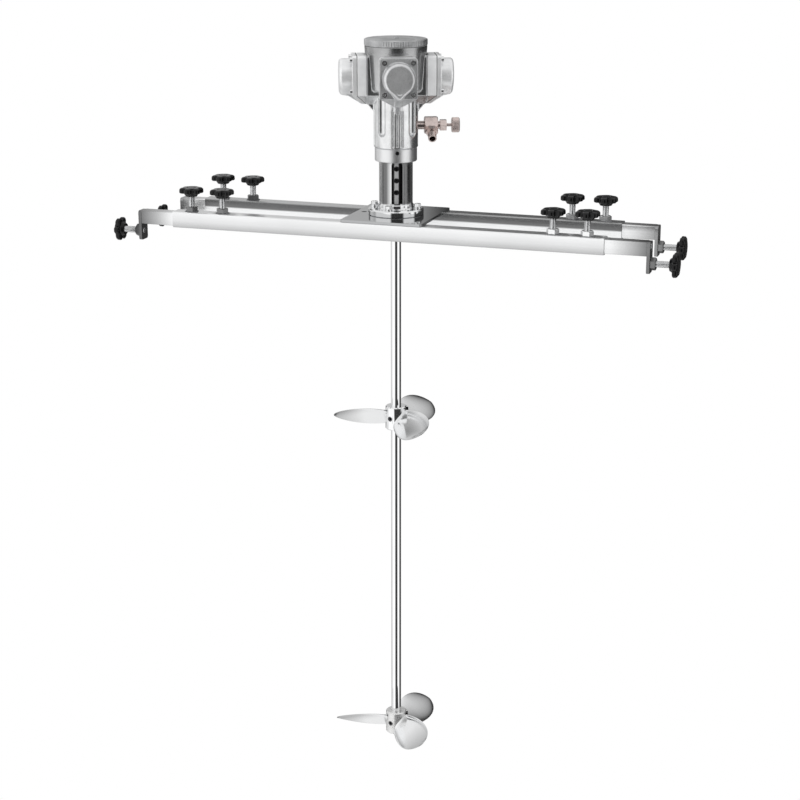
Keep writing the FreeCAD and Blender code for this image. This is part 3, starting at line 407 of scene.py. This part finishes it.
materials = {
    "rail_steel": rail_finish("rail_steel"),
    "front_rail": front_rail(),
    "rear_rail": rear_rail(),
    "inner_rail": inner_rail_finish(),
    "weld_steel": casting("weld_steel", (0.10, 0.10, 0.105), (0.30, 0.30, 0.31), 0.4, 500, 0.0006),
    "plate_steel": brushed("plate_steel", (0.42, 0.425, 0.43), 0.08, (1, 0.02, 1), 0.00002),
    "cast_aluminium": housing_finish(),
    # head_aluminium is a darker, duller copy of the head casting for the front head, as painted shade; the
    # lighter copy after it is painted light for the other three heads
    "head_aluminium": casting(
        "head_aluminium", (0.50, 0.505, 0.51), (0.78, 0.785, 0.79), 0.3, 1300, 0.0005, 0.75),
    "painted_light_head": casting(
        "painted_light_head", (0.74, 0.745, 0.75), (0.93, 0.935, 0.94), 0.32, 1300, 0.0004, 0.5),
    "cover_aluminium": casting(
        "cover_aluminium", (0.36, 0.365, 0.37), (0.64, 0.645, 0.65), 0.45, 700, 0.0012),
    "pedestal_steel": pedestal_finish(),
    "bright_zinc": plated("bright_zinc", (0.86, 0.865, 0.87), 0.2),
    "dark_steel": plated("dark_steel", (0.10, 0.10, 0.105), 0.32),
    "knob_plastic": moulded("knob_plastic", (0.003, 0.003, 0.0033), 0.2),
    "shaft_steel": brushed("shaft_steel", (0.90, 0.905, 0.91), 0.045, (1, 1, 0.5), 0.000004),
    "blade_steel": blade_finish(),
    "coupling_steel": coupling_finish(),
    "hub_casting": casting(
        "hub_casting", (0.66, 0.66, 0.655), (0.84, 0.84, 0.835), 0.34, 1000, 0.0004, 0.85),
    "nickel_brass": plated("nickel_brass", (0.68, 0.58, 0.55), 0.24),
    "sintered_bronze": plain("sintered_bronze", (0.44, 0.28, 0.12), 1.0, 0.6, 1300, 0.0012),
    "ground_steel": plated("ground_steel", (0.70, 0.71, 0.72), 0.2),
    "seal_rubber": plain("seal_rubber", (0.03, 0.03, 0.03), 0.0, 0.6, 500, 0.0003),
    "gasket_sheet": plain("gasket_sheet", (0.12, 0.13, 0.12), 0.0, 0.8, 900, 0.0003),
    "bush_bronze": plated("bush_bronze", (0.66, 0.46, 0.22), 0.28),
}


# Shaping

def placed(bm, name, slot, body, replaces=(), sharp=sharp_turn, turn=Matrix.Identity(4), finish=None):
    """Makes an object of a shape drawn in millimetres, with its place in its mesh."""
    bm.transform(Matrix.Scale(0.001, 4) @ turn)
    for face in bm.faces:
        face.smooth = True
    for edge in bm.edges:
        edge.smooth = not edge.is_manifold or edge.calc_face_angle() < radians(sharp)
    mesh = bpy.data.meshes.new(name)
    bm.to_mesh(mesh)
    bm.free()
    mesh.materials.append(materials[finish or slot].material)
    made = bpy.data.objects.new(name, mesh)
    bpy.context.scene.collection.objects.link(made)
    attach(made, body)
    if replaces:
        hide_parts(*replaces)
    return made


def stands_for(bm, node, turn=Matrix.Identity(4), finish=None, sharp=sharp_turn):
    """Makes the piece that a node is seen as."""
    name = node + ".finished"
    return placed(bm, name, slot_of_node[node], body_of_node[node], [node], sharp, turn, finish)


def cad_shape(node):
    """A copy of a node's own shape in millimetres, with its doubled points merged."""
    bm = bmesh.new()
    bm.from_mesh(nodes[node].data)
    bm.transform(Matrix.Scale(1000, 4))
    bmesh.ops.remove_doubles(bm, verts=bm.verts, dist=merge_distance)
    return bm


def break_edges(made, width=edge_break):
    """Rounds a piece's edges over a width in millimetres."""
    bevel = made.modifiers.new("broken edges", "BEVEL")
    bevel.width = width / 1000
    bevel.segments = 2
    bevel.limit_method = "ANGLE"
    bevel.angle_limit = radians(broken_turn)
    bevel.harden_normals = True


def dressed(node, finish=None, break_width=edge_break):
    """A node in its own finish: flat faces whole, smooth where it is round, and its edges broken."""
    bm = cad_shape(node)
    bmesh.ops.dissolve_limit(bm, angle_limit=radians(flat_turn), verts=bm.verts, edges=bm.edges)
    break_edges(stands_for(bm, node, finish=finish), break_width)


def add_form(bm, form):
    """Adds one shape to another."""
    mesh = bpy.data.meshes.new("form")
    form.to_mesh(mesh)
    form.free()
    bm.from_mesh(mesh)
    bpy.data.meshes.remove(mesh)


def lofted(rings, loop=False):
    """A closed form bridged from ring to ring, each with as many points as the others.

    A loop runs on from its last ring to its first, and other forms have their ends filled.
    """
    bm = bmesh.new()
    loops = []
    for ring in rings:
        verts = bmesh.ops.create_circle(bm, segments=len(ring), radius=1)["verts"]
        for vert, point in zip(verts, ring):
            vert.co = point
        # A dict keeps the edges in order, so that each run gives the same mesh.
        edges = dict.fromkeys(edge for vert in verts for edge in vert.link_edges)
        loops.append(list(edges))
    pairs = list(zip(loops, loops[1:]))
    if loop:
        pairs.append((loops[-1], loops[0]))
    for low, high in pairs:
        bmesh.ops.bridge_loops(bm, edges=low + high)
    if not loop:
        for rim in (loops[0], loops[-1]):
            ends = bmesh.ops.edgeloop_fill(bm, edges=rim)["faces"]
            bmesh.ops.poke(bm, faces=ends)
    bmesh.ops.recalc_face_normals(bm, faces=bm.faces)
    return bm


def softened(points, radius, steps):
    """The same line of points with every corner between its ends rounded."""
    soft = [Vector(points[0])]
    for before, corner, after in zip(points, points[1:], points[2:]):
        before, corner, after = Vector(before), Vector(corner), Vector(after)
        back = before - corner
        on = after - corner
        first = corner + back.normalized() * min(radius, back.length / 2)
        last = corner + on.normalized() * min(radius, on.length / 2)
        for k in range(steps + 1):
            t = k / steps
            soft.append(first * (1 - t) ** 2 + corner * (2 * t * (1 - t)) + last * t ** 2)
    soft.append(Vector(points[-1]))
    return soft


def turned_form(profile, steps, relief=None, loop=False):
    """A profile spun about +Z, in which relief(r, z, angle) may then change each radius."""
    bm = bmesh.new()
    line = [bm.verts.new((point[0], 0, point[1])) for point in profile]
    edges = [bm.edges.new(pair) for pair in zip(line, line[1:])]
    if loop:
        edges.append(bm.edges.new((line[-1], line[0])))
    bmesh.ops.spin(bm, geom=line + edges, axis=(0, 0, 1), angle=2 * pi, steps=steps, use_merge=True)
    bmesh.ops.remove_doubles(bm, verts=bm.verts, dist=spin_merge_distance)
    if relief:
        for vert in bm.verts:
            r = vert.co.xy.length
            if r > 0.001:
                share = relief(r, vert.co.z, atan2(vert.co.y, vert.co.x) % (2 * pi)) / r
                vert.co.x *= share
                vert.co.y *= share
    bmesh.ops.recalc_face_normals(bm, faces=bm.faces)
    return bm


def cast_skin(made, voxel, passes, share):
    """Melts joined forms into one casting with soft corners, and keeps a share of its faces."""
    skin = made.modifiers.new("one skin", "REMESH")
    skin.mode = "VOXEL"
    skin.voxel_size = voxel / 1000
    skin.use_smooth_shade = True
    soft = made.modifiers.new("soft corners", "SMOOTH")
    soft.factor = 0.5
    soft.iterations = passes
    fewer = made.modifiers.new("fewer faces", "DECIMATE")
    fewer.ratio = share


# Knobs and studs

screw_d = 10.0
thread_pitch = 1.5
thread_depth = 0.85
thread_root_share = 0.12        # of the pitch, and what both flanks take
thread_flank_share = 0.72
thread_samples = 6              # rings to one turn of a thread
stud_chamfer = 0.9
stud_steps = 18
knob_r = 19.0
knob_height = 14.0
knob_hub_height = 5.0
knob_hub_r = 9.0
knob_disc_r = 6.7               # of the cap disc in the dome
knob_bore_r = screw_d / 2 + 0.05
knob_steps = 108
knob_lobes = 6
knob_flute = 5.2                # depth of the hollows between the lobes
knob_flute_from = 12.0          # radius towards which the hollows fade out
knob_flute_fade = 5.0           # how far outside it they have their full depth
knob_socket = 9.1


def threaded(length):
    """A threaded stud along +Z, its chamfered tip at the origin."""
    crest = screw_d / 2

    def relief(r, z, angle):
        phase = (z / thread_pitch - angle / (2 * pi)) % 1.0
        rise = (1 - abs(2 * phase - 1) - thread_root_share) / thread_flank_share
        tooth = min(max(rise, 0), 1)
        tip = crest - stud_chamfer
        return min(crest - thread_depth * (1 - tooth), tip + z, tip + length - z)

    count = int(length / thread_pitch * thread_samples)
    side = [(crest, length * k / count) for k in range(count + 1)]
    return turned_form([(0, 0), *side, (0, length)], stud_steps, relief)


def star_knob():
    """A six-lobed knob along +Z with a low dome, a cap disc in its middle and a socket for the stud."""
    top = knob_height
    low = knob_hub_height

    def relief(r, z, angle):
        if r < knob_flute_from + 1 or z < low - 0.1:
            return r
        flute = (0.5 + 0.5 * cos(knob_lobes * angle)) ** 2
        return r - knob_flute * flute * min((r - knob_flute_from) / knob_flute_fade, 1)

    profile = [
        (0, knob_socket), (knob_bore_r, knob_socket), (knob_bore_r, 0.0),
        (knob_hub_r, 0.0), (knob_hub_r + 0.6, 1.2), (knob_hub_r + 2.8, low - 0.6), (knob_hub_r + 4.2, low),
        (knob_r - 1.4, low), (knob_r, low + 1.3), (knob_r - 0.3, top - 2.6),
        (knob_r - 2.6, top - 0.7), (12.6, top - 0.15), (knob_disc_r + 0.5, top - 0.1),
        (knob_disc_r, top - 0.8), (knob_disc_r - 0.6, top - 0.8), (knob_disc_r - 1.0, top - 0.1),
        (knob_disc_r - 2.1, top), (0, top),
    ]
    return turned_form(softened(profile, 0.9, 3), knob_steps, relief)


def upright(x, y, z):
    """Puts a piece drawn along +Z at a point, standing up."""
    return Matrix.Translation((x, y, z))


def sideways(x, y, z, end):
    """Puts a piece drawn along +Z at a point, lying towards +X for an end of 1 and towards -X for -1."""
    return Matrix.Translation((x, y, z)) @ Matrix.Rotation(end * pi / 2, 4, "Y")


def screw_pieces():
    """The studs and knobs of the lock screws, which stand, and of the clamp screws, which lie."""
    for node in sorted(nodes):
        if not node.startswith(("lock_", "clamp_")):
            continue
        low, high = span(node)
        centre = (low + high) / 2
        if node.startswith("lock_"):
            place = upright(centre.x, centre.y, low.z)
            length = high.z - low.z
        else:
            end = 1 if centre.x > 0 else -1
            start = low.x if end > 0 else high.x
            place = sideways(start, centre.y, centre.z, end)
            length = high.x - low.x
        if "_stud_" in node:
            stands_for(threaded(length), node, place, sharp=50)
        else:
            stands_for(star_knob(), node, place, sharp=40)


# Propellers

shaft_r = 8.0
shaft_chamfer = 1.0
shaft_steps = 96
hub_r = 17.0
hub_pad_r = 19.6                # past the pads of its set screws
blade_turn = 73.3               # of the first blade from +X, degrees
blade_count = 3
blade_root_r = 14.0
blade_length = 86.0
blade_chord = 54.0
blade_root_chord = 36.0
blade_root_pitch = 50.0
blade_tip_pitch = 33.0
blade_thickness = 3.2
blade_thinning = 0.55
blade_camber = 2.5
blade_widest = 0.52             # share of the length at which a blade is widest
blade_tip_power = 2.2           # 2 gives a tip that is part of an ellipse
blade_tip_least = 0.05          # the tip's own chord, as a share of the widest
blade_fillet = 1.3              # how much thicker a blade is where it leaves the hub
blade_fillet_reach = 2.2
blade_stations = 44
blade_ring_points = 56


def blade_ring(share):
    """One section of a blade that lies along +X: a thin cambered lens with round edges."""
    r = blade_root_r + blade_length * share
    if share < blade_widest:
        chord = blade_root_chord + (blade_chord - blade_root_chord) * sin(pi / 2 * share / blade_widest)
    else:
        fall = (share - blade_widest) / (1 - blade_widest)
        chord = blade_chord * max(sqrt(max(1 - fall ** blade_tip_power, 0)), blade_tip_least)
    pitch = radians(blade_root_pitch + (blade_tip_pitch - blade_root_pitch) * share)
    fillet = 1 + blade_fillet * exp(-max(r - hub_r, 0) / blade_fillet_reach)
    thickness = blade_thickness * (1 - blade_thinning * share) * fillet
    camber = blade_camber * chord / blade_chord
    along = Vector((0, cos(pitch), sin(pitch)))
    normal = Vector((0, -sin(pitch), cos(pitch)))
    ring = []
    for k in range(blade_ring_points):
        angle = 2 * pi * k / blade_ring_points
        across = cos(angle)
        rise = camber * (1 - across ** 2) + thickness / 2 * sin(angle)
        ring.append(Vector((r, 0, 0)) + along * (chord / 2 * across) + normal * rise)
    return ring


def blades(centre_z):
    """The three polished blades, their stations closer together at the root and the round tip."""
    shares = [0.5 - 0.5 * cos(pi * i / blade_stations) for i in range(blade_stations + 1)]
    rings = [blade_ring(share) for share in shares]
    shape = bmesh.new()
    for k in range(blade_count):
        one = lofted(rings)
        turn = Matrix.Rotation(radians(blade_turn + 360 * k / blade_count), 4, "Z")
        one.transform(Matrix.Translation((0, 0, centre_z)) @ turn)
        add_form(shape, one)
    return shape


def hub_shape(node):
    """A propeller's hub on its own: the blades are cut away and their roots closed."""
    bm = cad_shape(node)
    outside = [v for v in bm.verts if v.co.xy.length > hub_pad_r]
    bmesh.ops.delete(bm, geom=outside, context="VERTS")
    rims = [edge for edge in bm.edges if edge.is_boundary]
    bmesh.ops.holes_fill(bm, edges=rims, sides=0)
    bmesh.ops.recalc_face_normals(bm, faces=bm.faces)
    return bm


def propeller_pieces():
    """Each propeller as a cast hub and three polished blades."""
    for node in ("upper_propeller", "lower_propeller"):
        hub = placed(hub_shape(node), node + ".hub", slot_of_node[node], "rotor", [node])
        break_edges(hub, width=0.4)
        placed(blades(middle(node).z), node + ".blades", slot_of_node[node], "rotor", [node],
               finish="blade_steel", sharp=60)


def shaft_piece():
    """The shaft, with its ends chamfered."""
    low, high = span("agitator_shaft")
    inner_r = shaft_r - shaft_chamfer
    profile = [
        (0, low.z), (inner_r, low.z), (shaft_r, low.z + shaft_chamfer),
        (shaft_r, high.z - shaft_chamfer), (inner_r, high.z), (0, high.z),
    ]
    stands_for(turned_form(softened(profile, 0.3, 2), shaft_steps), "agitator_shaft")


# Motor

cap_r = 24.0
cap_root = 66.0                 # inside the head plate
cap_tip = 87.0
cap_edge = 5.0                  # radius of the edge round its face
cap_edge_steps = 6
cap_steps = 90
lip_width = 1.4
lip_drop = 0.9
tail_reach = 10.0               # how far the teardrop's point stands out of the round cap
tail_share = 0.30               # its width, as an angle in radians
tail_fade_from = 75.0           # from here to its face the cap's point loses half its reach
cylinders_z = 243.5
head_turn = 22.3
inlet_z = 165.5
cover_ridges = 76
ridge_steps = 8                 # points to one ridge
ridge_height = 0.45
ridge_foot = 287.8
ridge_top = 296.3
ridge_inset = 2.0               # how far the ridges' ring reaches into the cover
valve_knob_at = 85.5            # from the motor's axis
valve_knob_length = 12.0
valve_knob_r = 11.5
valve_knob_steps = 240
valve_knob_chamfer = 1.2
knurl_ridges = 40
knurl_depth = 0.4
spindle_bore_r = 2.55
spindle_bore_depth = 7.1


def teardrop_cap():
    """The cap of a head along +X: round, drawn down to a point, with a thin lip round a sunk face."""
    stations = [(cap_root, 0.0), (cap_tip - cap_edge, 0.0)]
    for k in range(1, cap_edge_steps + 1):
        angle = pi / 2 * k / cap_edge_steps
        stations.append((cap_tip - cap_edge + cap_edge * sin(angle), cap_edge * (1 - cos(angle))))
    stations.append((cap_tip, cap_edge + lip_width))
    stations.append((cap_tip - lip_drop, cap_edge + lip_width + lip_drop))
    rings = []
    for x, inset in stations:
        fade = 1 - 0.5 * max(x - tail_fade_from, 0) / (cap_tip - tail_fade_from)
        ring = []
        for k in range(cap_steps):
            angle = 2 * pi * k / cap_steps - pi
            radius = cap_r - inset + tail_reach * fade * exp(-(angle / tail_share) ** 2)
            ring.append(Vector((x, radius * sin(angle), cylinders_z - radius * cos(angle))))
        rings.append(ring)
    return lofted(rings)


def head_pieces():
    """The four heads, each cast in one with its cap; the front one wears a darker copy of the casting as
    painted shade, the others a lighter copy as painted light.
    """
    for index, name in enumerate(("front", "right", "rear", "left")):
        node = "cylinder_head_" + name
        shape = cad_shape(node)
        cap = teardrop_cap()
        cap.transform(Matrix.Rotation(radians(head_turn - 90 + 90 * index), 4, "Z"))
        add_form(shape, cap)
        # painted shade on the front head, painted light on the other three
        finish = "head_aluminium" if name == "front" else "painted_light_head"
        cast_skin(stands_for(shape, node, finish=finish), voxel=0.6, passes=3, share=0.5)


def housing_piece():
    """The motor's housing as one casting."""
    housing = stands_for(cad_shape("motor_housing"), "motor_housing")
    cast_skin(housing, voxel=0.8, passes=5, share=0.3)


def cover_piece():
    """The cover, and the fine ridges cast round its rim."""
    dressed("top_cover", break_width=0.5)
    rim = span("top_cover")[1].x

    def relief(r, z, angle):
        if r < rim - 0.5:
            return r
        return r + ridge_height * (0.5 + 0.5 * cos(cover_ridges * angle))

    profile = [
        (rim - ridge_inset, ridge_foot), (rim - 0.3, ridge_foot), (rim, ridge_foot + 1.0),
        (rim, ridge_top - 1.1), (rim - 0.3, ridge_top), (rim - ridge_inset, ridge_top),
    ]
    ridges = turned_form(softened(profile, 0.5, 2), ridge_steps * cover_ridges, relief, loop=True)
    placed(ridges, "top_cover.ridges", slot_of_node["top_cover"], "root")


def valve_knob_piece():
    """The valve's round knob with a straight knurl."""
    length = valve_knob_length
    rim = valve_knob_r
    face_r = rim - valve_knob_chamfer

    def relief(r, z, angle):
        if r < rim - 0.2:
            return r
        return r - knurl_depth * (0.5 - 0.5 * cos(knurl_ridges * angle))

    profile = [
        (0, spindle_bore_depth), (spindle_bore_r, spindle_bore_depth), (spindle_bore_r, 0.0),
        (face_r, 0.0), (rim, valve_knob_chamfer), (rim, length - valve_knob_chamfer),
        (face_r, length), (6.0, length), (5.4, length - 0.5), (0, length - 0.5),
    ]
    place = Matrix.Translation((0, 0, inlet_z)) @ Matrix.Rotation(radians(head_turn), 4, "Z")
    place = place @ sideways(valve_knob_at, 0, 0, 1)
    knob = turned_form(softened(profile, 0.3, 2), valve_knob_steps, relief)
    stands_for(knob, "valve_knob", place, sharp=50)


# Rails

nut_flats = 17.0
nut_places = (-317.0, -265.0, 265.0, 317.0)
bead_r = 1.3
bead_hexagon = 0.5              # how much of the bead's path is hexagon, and how much circle
bead_circle = 0.56
bead_steps = 144
bead_ring_steps = 10
bead_ripples = 24
bead_ripple = 0.16              # share of the bead's size that the ripples change, and its slow waves
bead_wave = 0.12
bead_flatness = 0.85            # of its height against its width


def nut_bead(x, y, z):
    """A rippled weld bead round a nut's foot, on a path between its hexagon and a circle."""
    rings = []
    for k in range(bead_steps):
        angle = 2 * pi * k / bead_steps
        off_flat = (angle + pi / 6) % (pi / 3) - pi / 6
        path = nut_flats / 2 / cos(off_flat) * bead_hexagon + nut_flats / 2 * bead_circle
        ripple = 1 + bead_ripple * cos(bead_ripples * angle)
        size = bead_r * ripple * (1 + bead_wave * sin(3 * angle + x))
        ring = []
        for j in range(bead_ring_steps):
            lift = 2 * pi * j / bead_ring_steps
            r = path + size * cos(lift)
            height = z + size * bead_flatness * sin(lift)
            ring.append(Vector((x + r * cos(angle), y + r * sin(angle), height)))
        rings.append(ring)
    return lofted(rings, loop=True)


def rail_pieces():
    """The outer tubes with the weld beads of their nuts, and the inner tubes."""
    for side, y in (("front", -rail_side), ("rear", rail_side)):
        node = "outer_rail_" + side
        dressed(node, finish=side + "_rail")
        beads = bmesh.new()
        for x in nut_places:
            add_form(beads, nut_bead(x, y, rail_top))
        placed(beads, node + ".beads", "rail_steel", "root", finish="weld_steel", sharp=60)
        for end in ("left", "right"):
            dressed("inner_rail_%s_%s" % (side, end), finish="inner_rail")


screw_pieces()
propeller_pieces()
shaft_piece()
head_pieces()
housing_piece()
cover_piece()
valve_knob_piece()
rail_pieces()
dressed("coupling", finish="coupling_steel")
made_nodes = {
    "agitator_shaft", "coupling", "upper_propeller", "lower_propeller",
    "motor_housing", "top_cover", "valve_knob",
}
made_kinds = ("lock_", "clamp_", "cylinder_head_", "outer_", "inner_rail_")
for node in sorted(nodes):
    if node not in made_nodes and not node.startswith(made_kinds):
        dressed(node)


# Studio

def studio_world():
    """White behind everything, a soft even light on matt pieces, and a ring of lights for metal to mirror.

    The ring's softboxes and dark flags stand round the object as bands of azimuth.
    """
    world = bpy.data.worlds.new("studio")
    world.use_nodes = True
    bpy.context.scene.world = world
    tree = world.node_tree
    tree.nodes.clear()
    direction = tree.nodes.new("ShaderNodeTexCoord")
    split = tree.nodes.new("ShaderNodeSeparateXYZ")
    tree.links.new(direction.outputs["Generated"], split.inputs["Vector"])
    bands = tree.nodes.new("ShaderNodeValToRGB")
    tree.links.new(turn_about_z(tree, direction.outputs["Generated"]), bands.inputs["Fac"])
    edges = (
        (-180, 0.60), (-154, 0.60), (-147, 0.16), (-139, 0.20), (-131, 0.95), (-96, 0.72),
        (-88, 1.15), (-24, 1.15),
        (-18, 0.05), (28, 0.05),
        (35, 1.15), (78, 1.15),
        (86, 0.06), (180, 0.06),
    )
    set_stops(bands, azimuth_stops(edges))

    overhead = tree.nodes.new("ShaderNodeValToRGB")
    set_stops(overhead, [(0.05, 1.0), (0.13, 0.0), (0.69, 0.0), (0.82, 1.0)])
    level = tree.nodes.new("ShaderNodeMapRange")
    level.inputs["From Min"].default_value = -1
    tree.links.new(split.outputs["Z"], level.inputs["Value"])
    tree.links.new(level.outputs["Result"], overhead.inputs["Fac"])
    mirrored = tree.nodes.new("ShaderNodeMix")
    mirrored.data_type = "RGBA"
    tree.links.new(overhead.outputs["Color"], mirrored.inputs["Factor"])
    tree.links.new(bands.outputs["Color"], mirrored.inputs["A"])
    mirrored.inputs["B"].default_value = grey(0.95)

    rays = tree.nodes.new("ShaderNodeLightPath")
    soft = tree.nodes.new("ShaderNodeBackground")
    soft.inputs["Color"].default_value = grey(0.62)
    studio = tree.nodes.new("ShaderNodeBackground")
    tree.links.new(mirrored.outputs["Result"], studio.inputs["Color"])
    white = tree.nodes.new("ShaderNodeBackground")
    white.inputs["Color"].default_value = grey(1)
    first = tree.nodes.new("ShaderNodeMixShader")
    second = tree.nodes.new("ShaderNodeMixShader")
    tree.links.new(rays.outputs["Is Glossy Ray"], first.inputs["Fac"])
    tree.links.new(soft.outputs[0], first.inputs[1])
    tree.links.new(studio.outputs[0], first.inputs[2])
    tree.links.new(rays.outputs["Is Camera Ray"], second.inputs["Fac"])
    tree.links.new(first.outputs[0], second.inputs[1])
    tree.links.new(white.outputs[0], second.inputs[2])
    out = tree.nodes.new("ShaderNodeOutputWorld")
    tree.links.new(second.outputs[0], out.inputs["Surface"])


def lamp(name, place, aim, size, power):
    """A square area lamp that glossy surfaces don't show."""
    light = bpy.data.lights.new(name, "AREA")
    light.shape = "SQUARE"
    light.size = size
    light.energy = power
    made = bpy.data.objects.new(name, light)
    bpy.context.scene.collection.objects.link(made)
    made.location = place
    made.rotation_euler = (Vector(aim) - Vector(place)).to_track_quat("-Z", "Y").to_euler()
    made.visible_glossy = False


def studio():
    """The world, and two broad lamps that no metal mirrors."""
    studio_world()
    lamp("key", (-2.0, -2.6, 2.4), (0, 0, 0), size=2.0, power=70)
    lamp("fill", (2.6, -2.0, 0.8), (0, 0, -0.2), size=2.0, power=30)


def camera():
    """The camera at the photograph's side and height."""
    azimuth = radians(camera_azimuth)
    pitch = radians(camera_pitch)
    back = Vector((sin(azimuth) * cos(pitch), -cos(azimuth) * cos(pitch), sin(pitch)))
    right = Vector((cos(azimuth), sin(azimuth), 0))
    aim = Vector((0, 0, aim_height)) + right * aim_side
    data = bpy.data.cameras.new("camera")
    data.lens = lens
    data.sensor_width = sensor_width
    data.sensor_fit = "HORIZONTAL"
    data.clip_end = 100
    made = bpy.data.objects.new("camera", data)
    bpy.context.scene.collection.objects.link(made)
    made.location = aim + back * camera_distance
    made.rotation_euler = (-back).to_track_quat("-Z", "Y").to_euler()
    bpy.context.scene.camera = made


studio()
camera()
bpy.context.scene.view_settings.view_transform = "Standard"
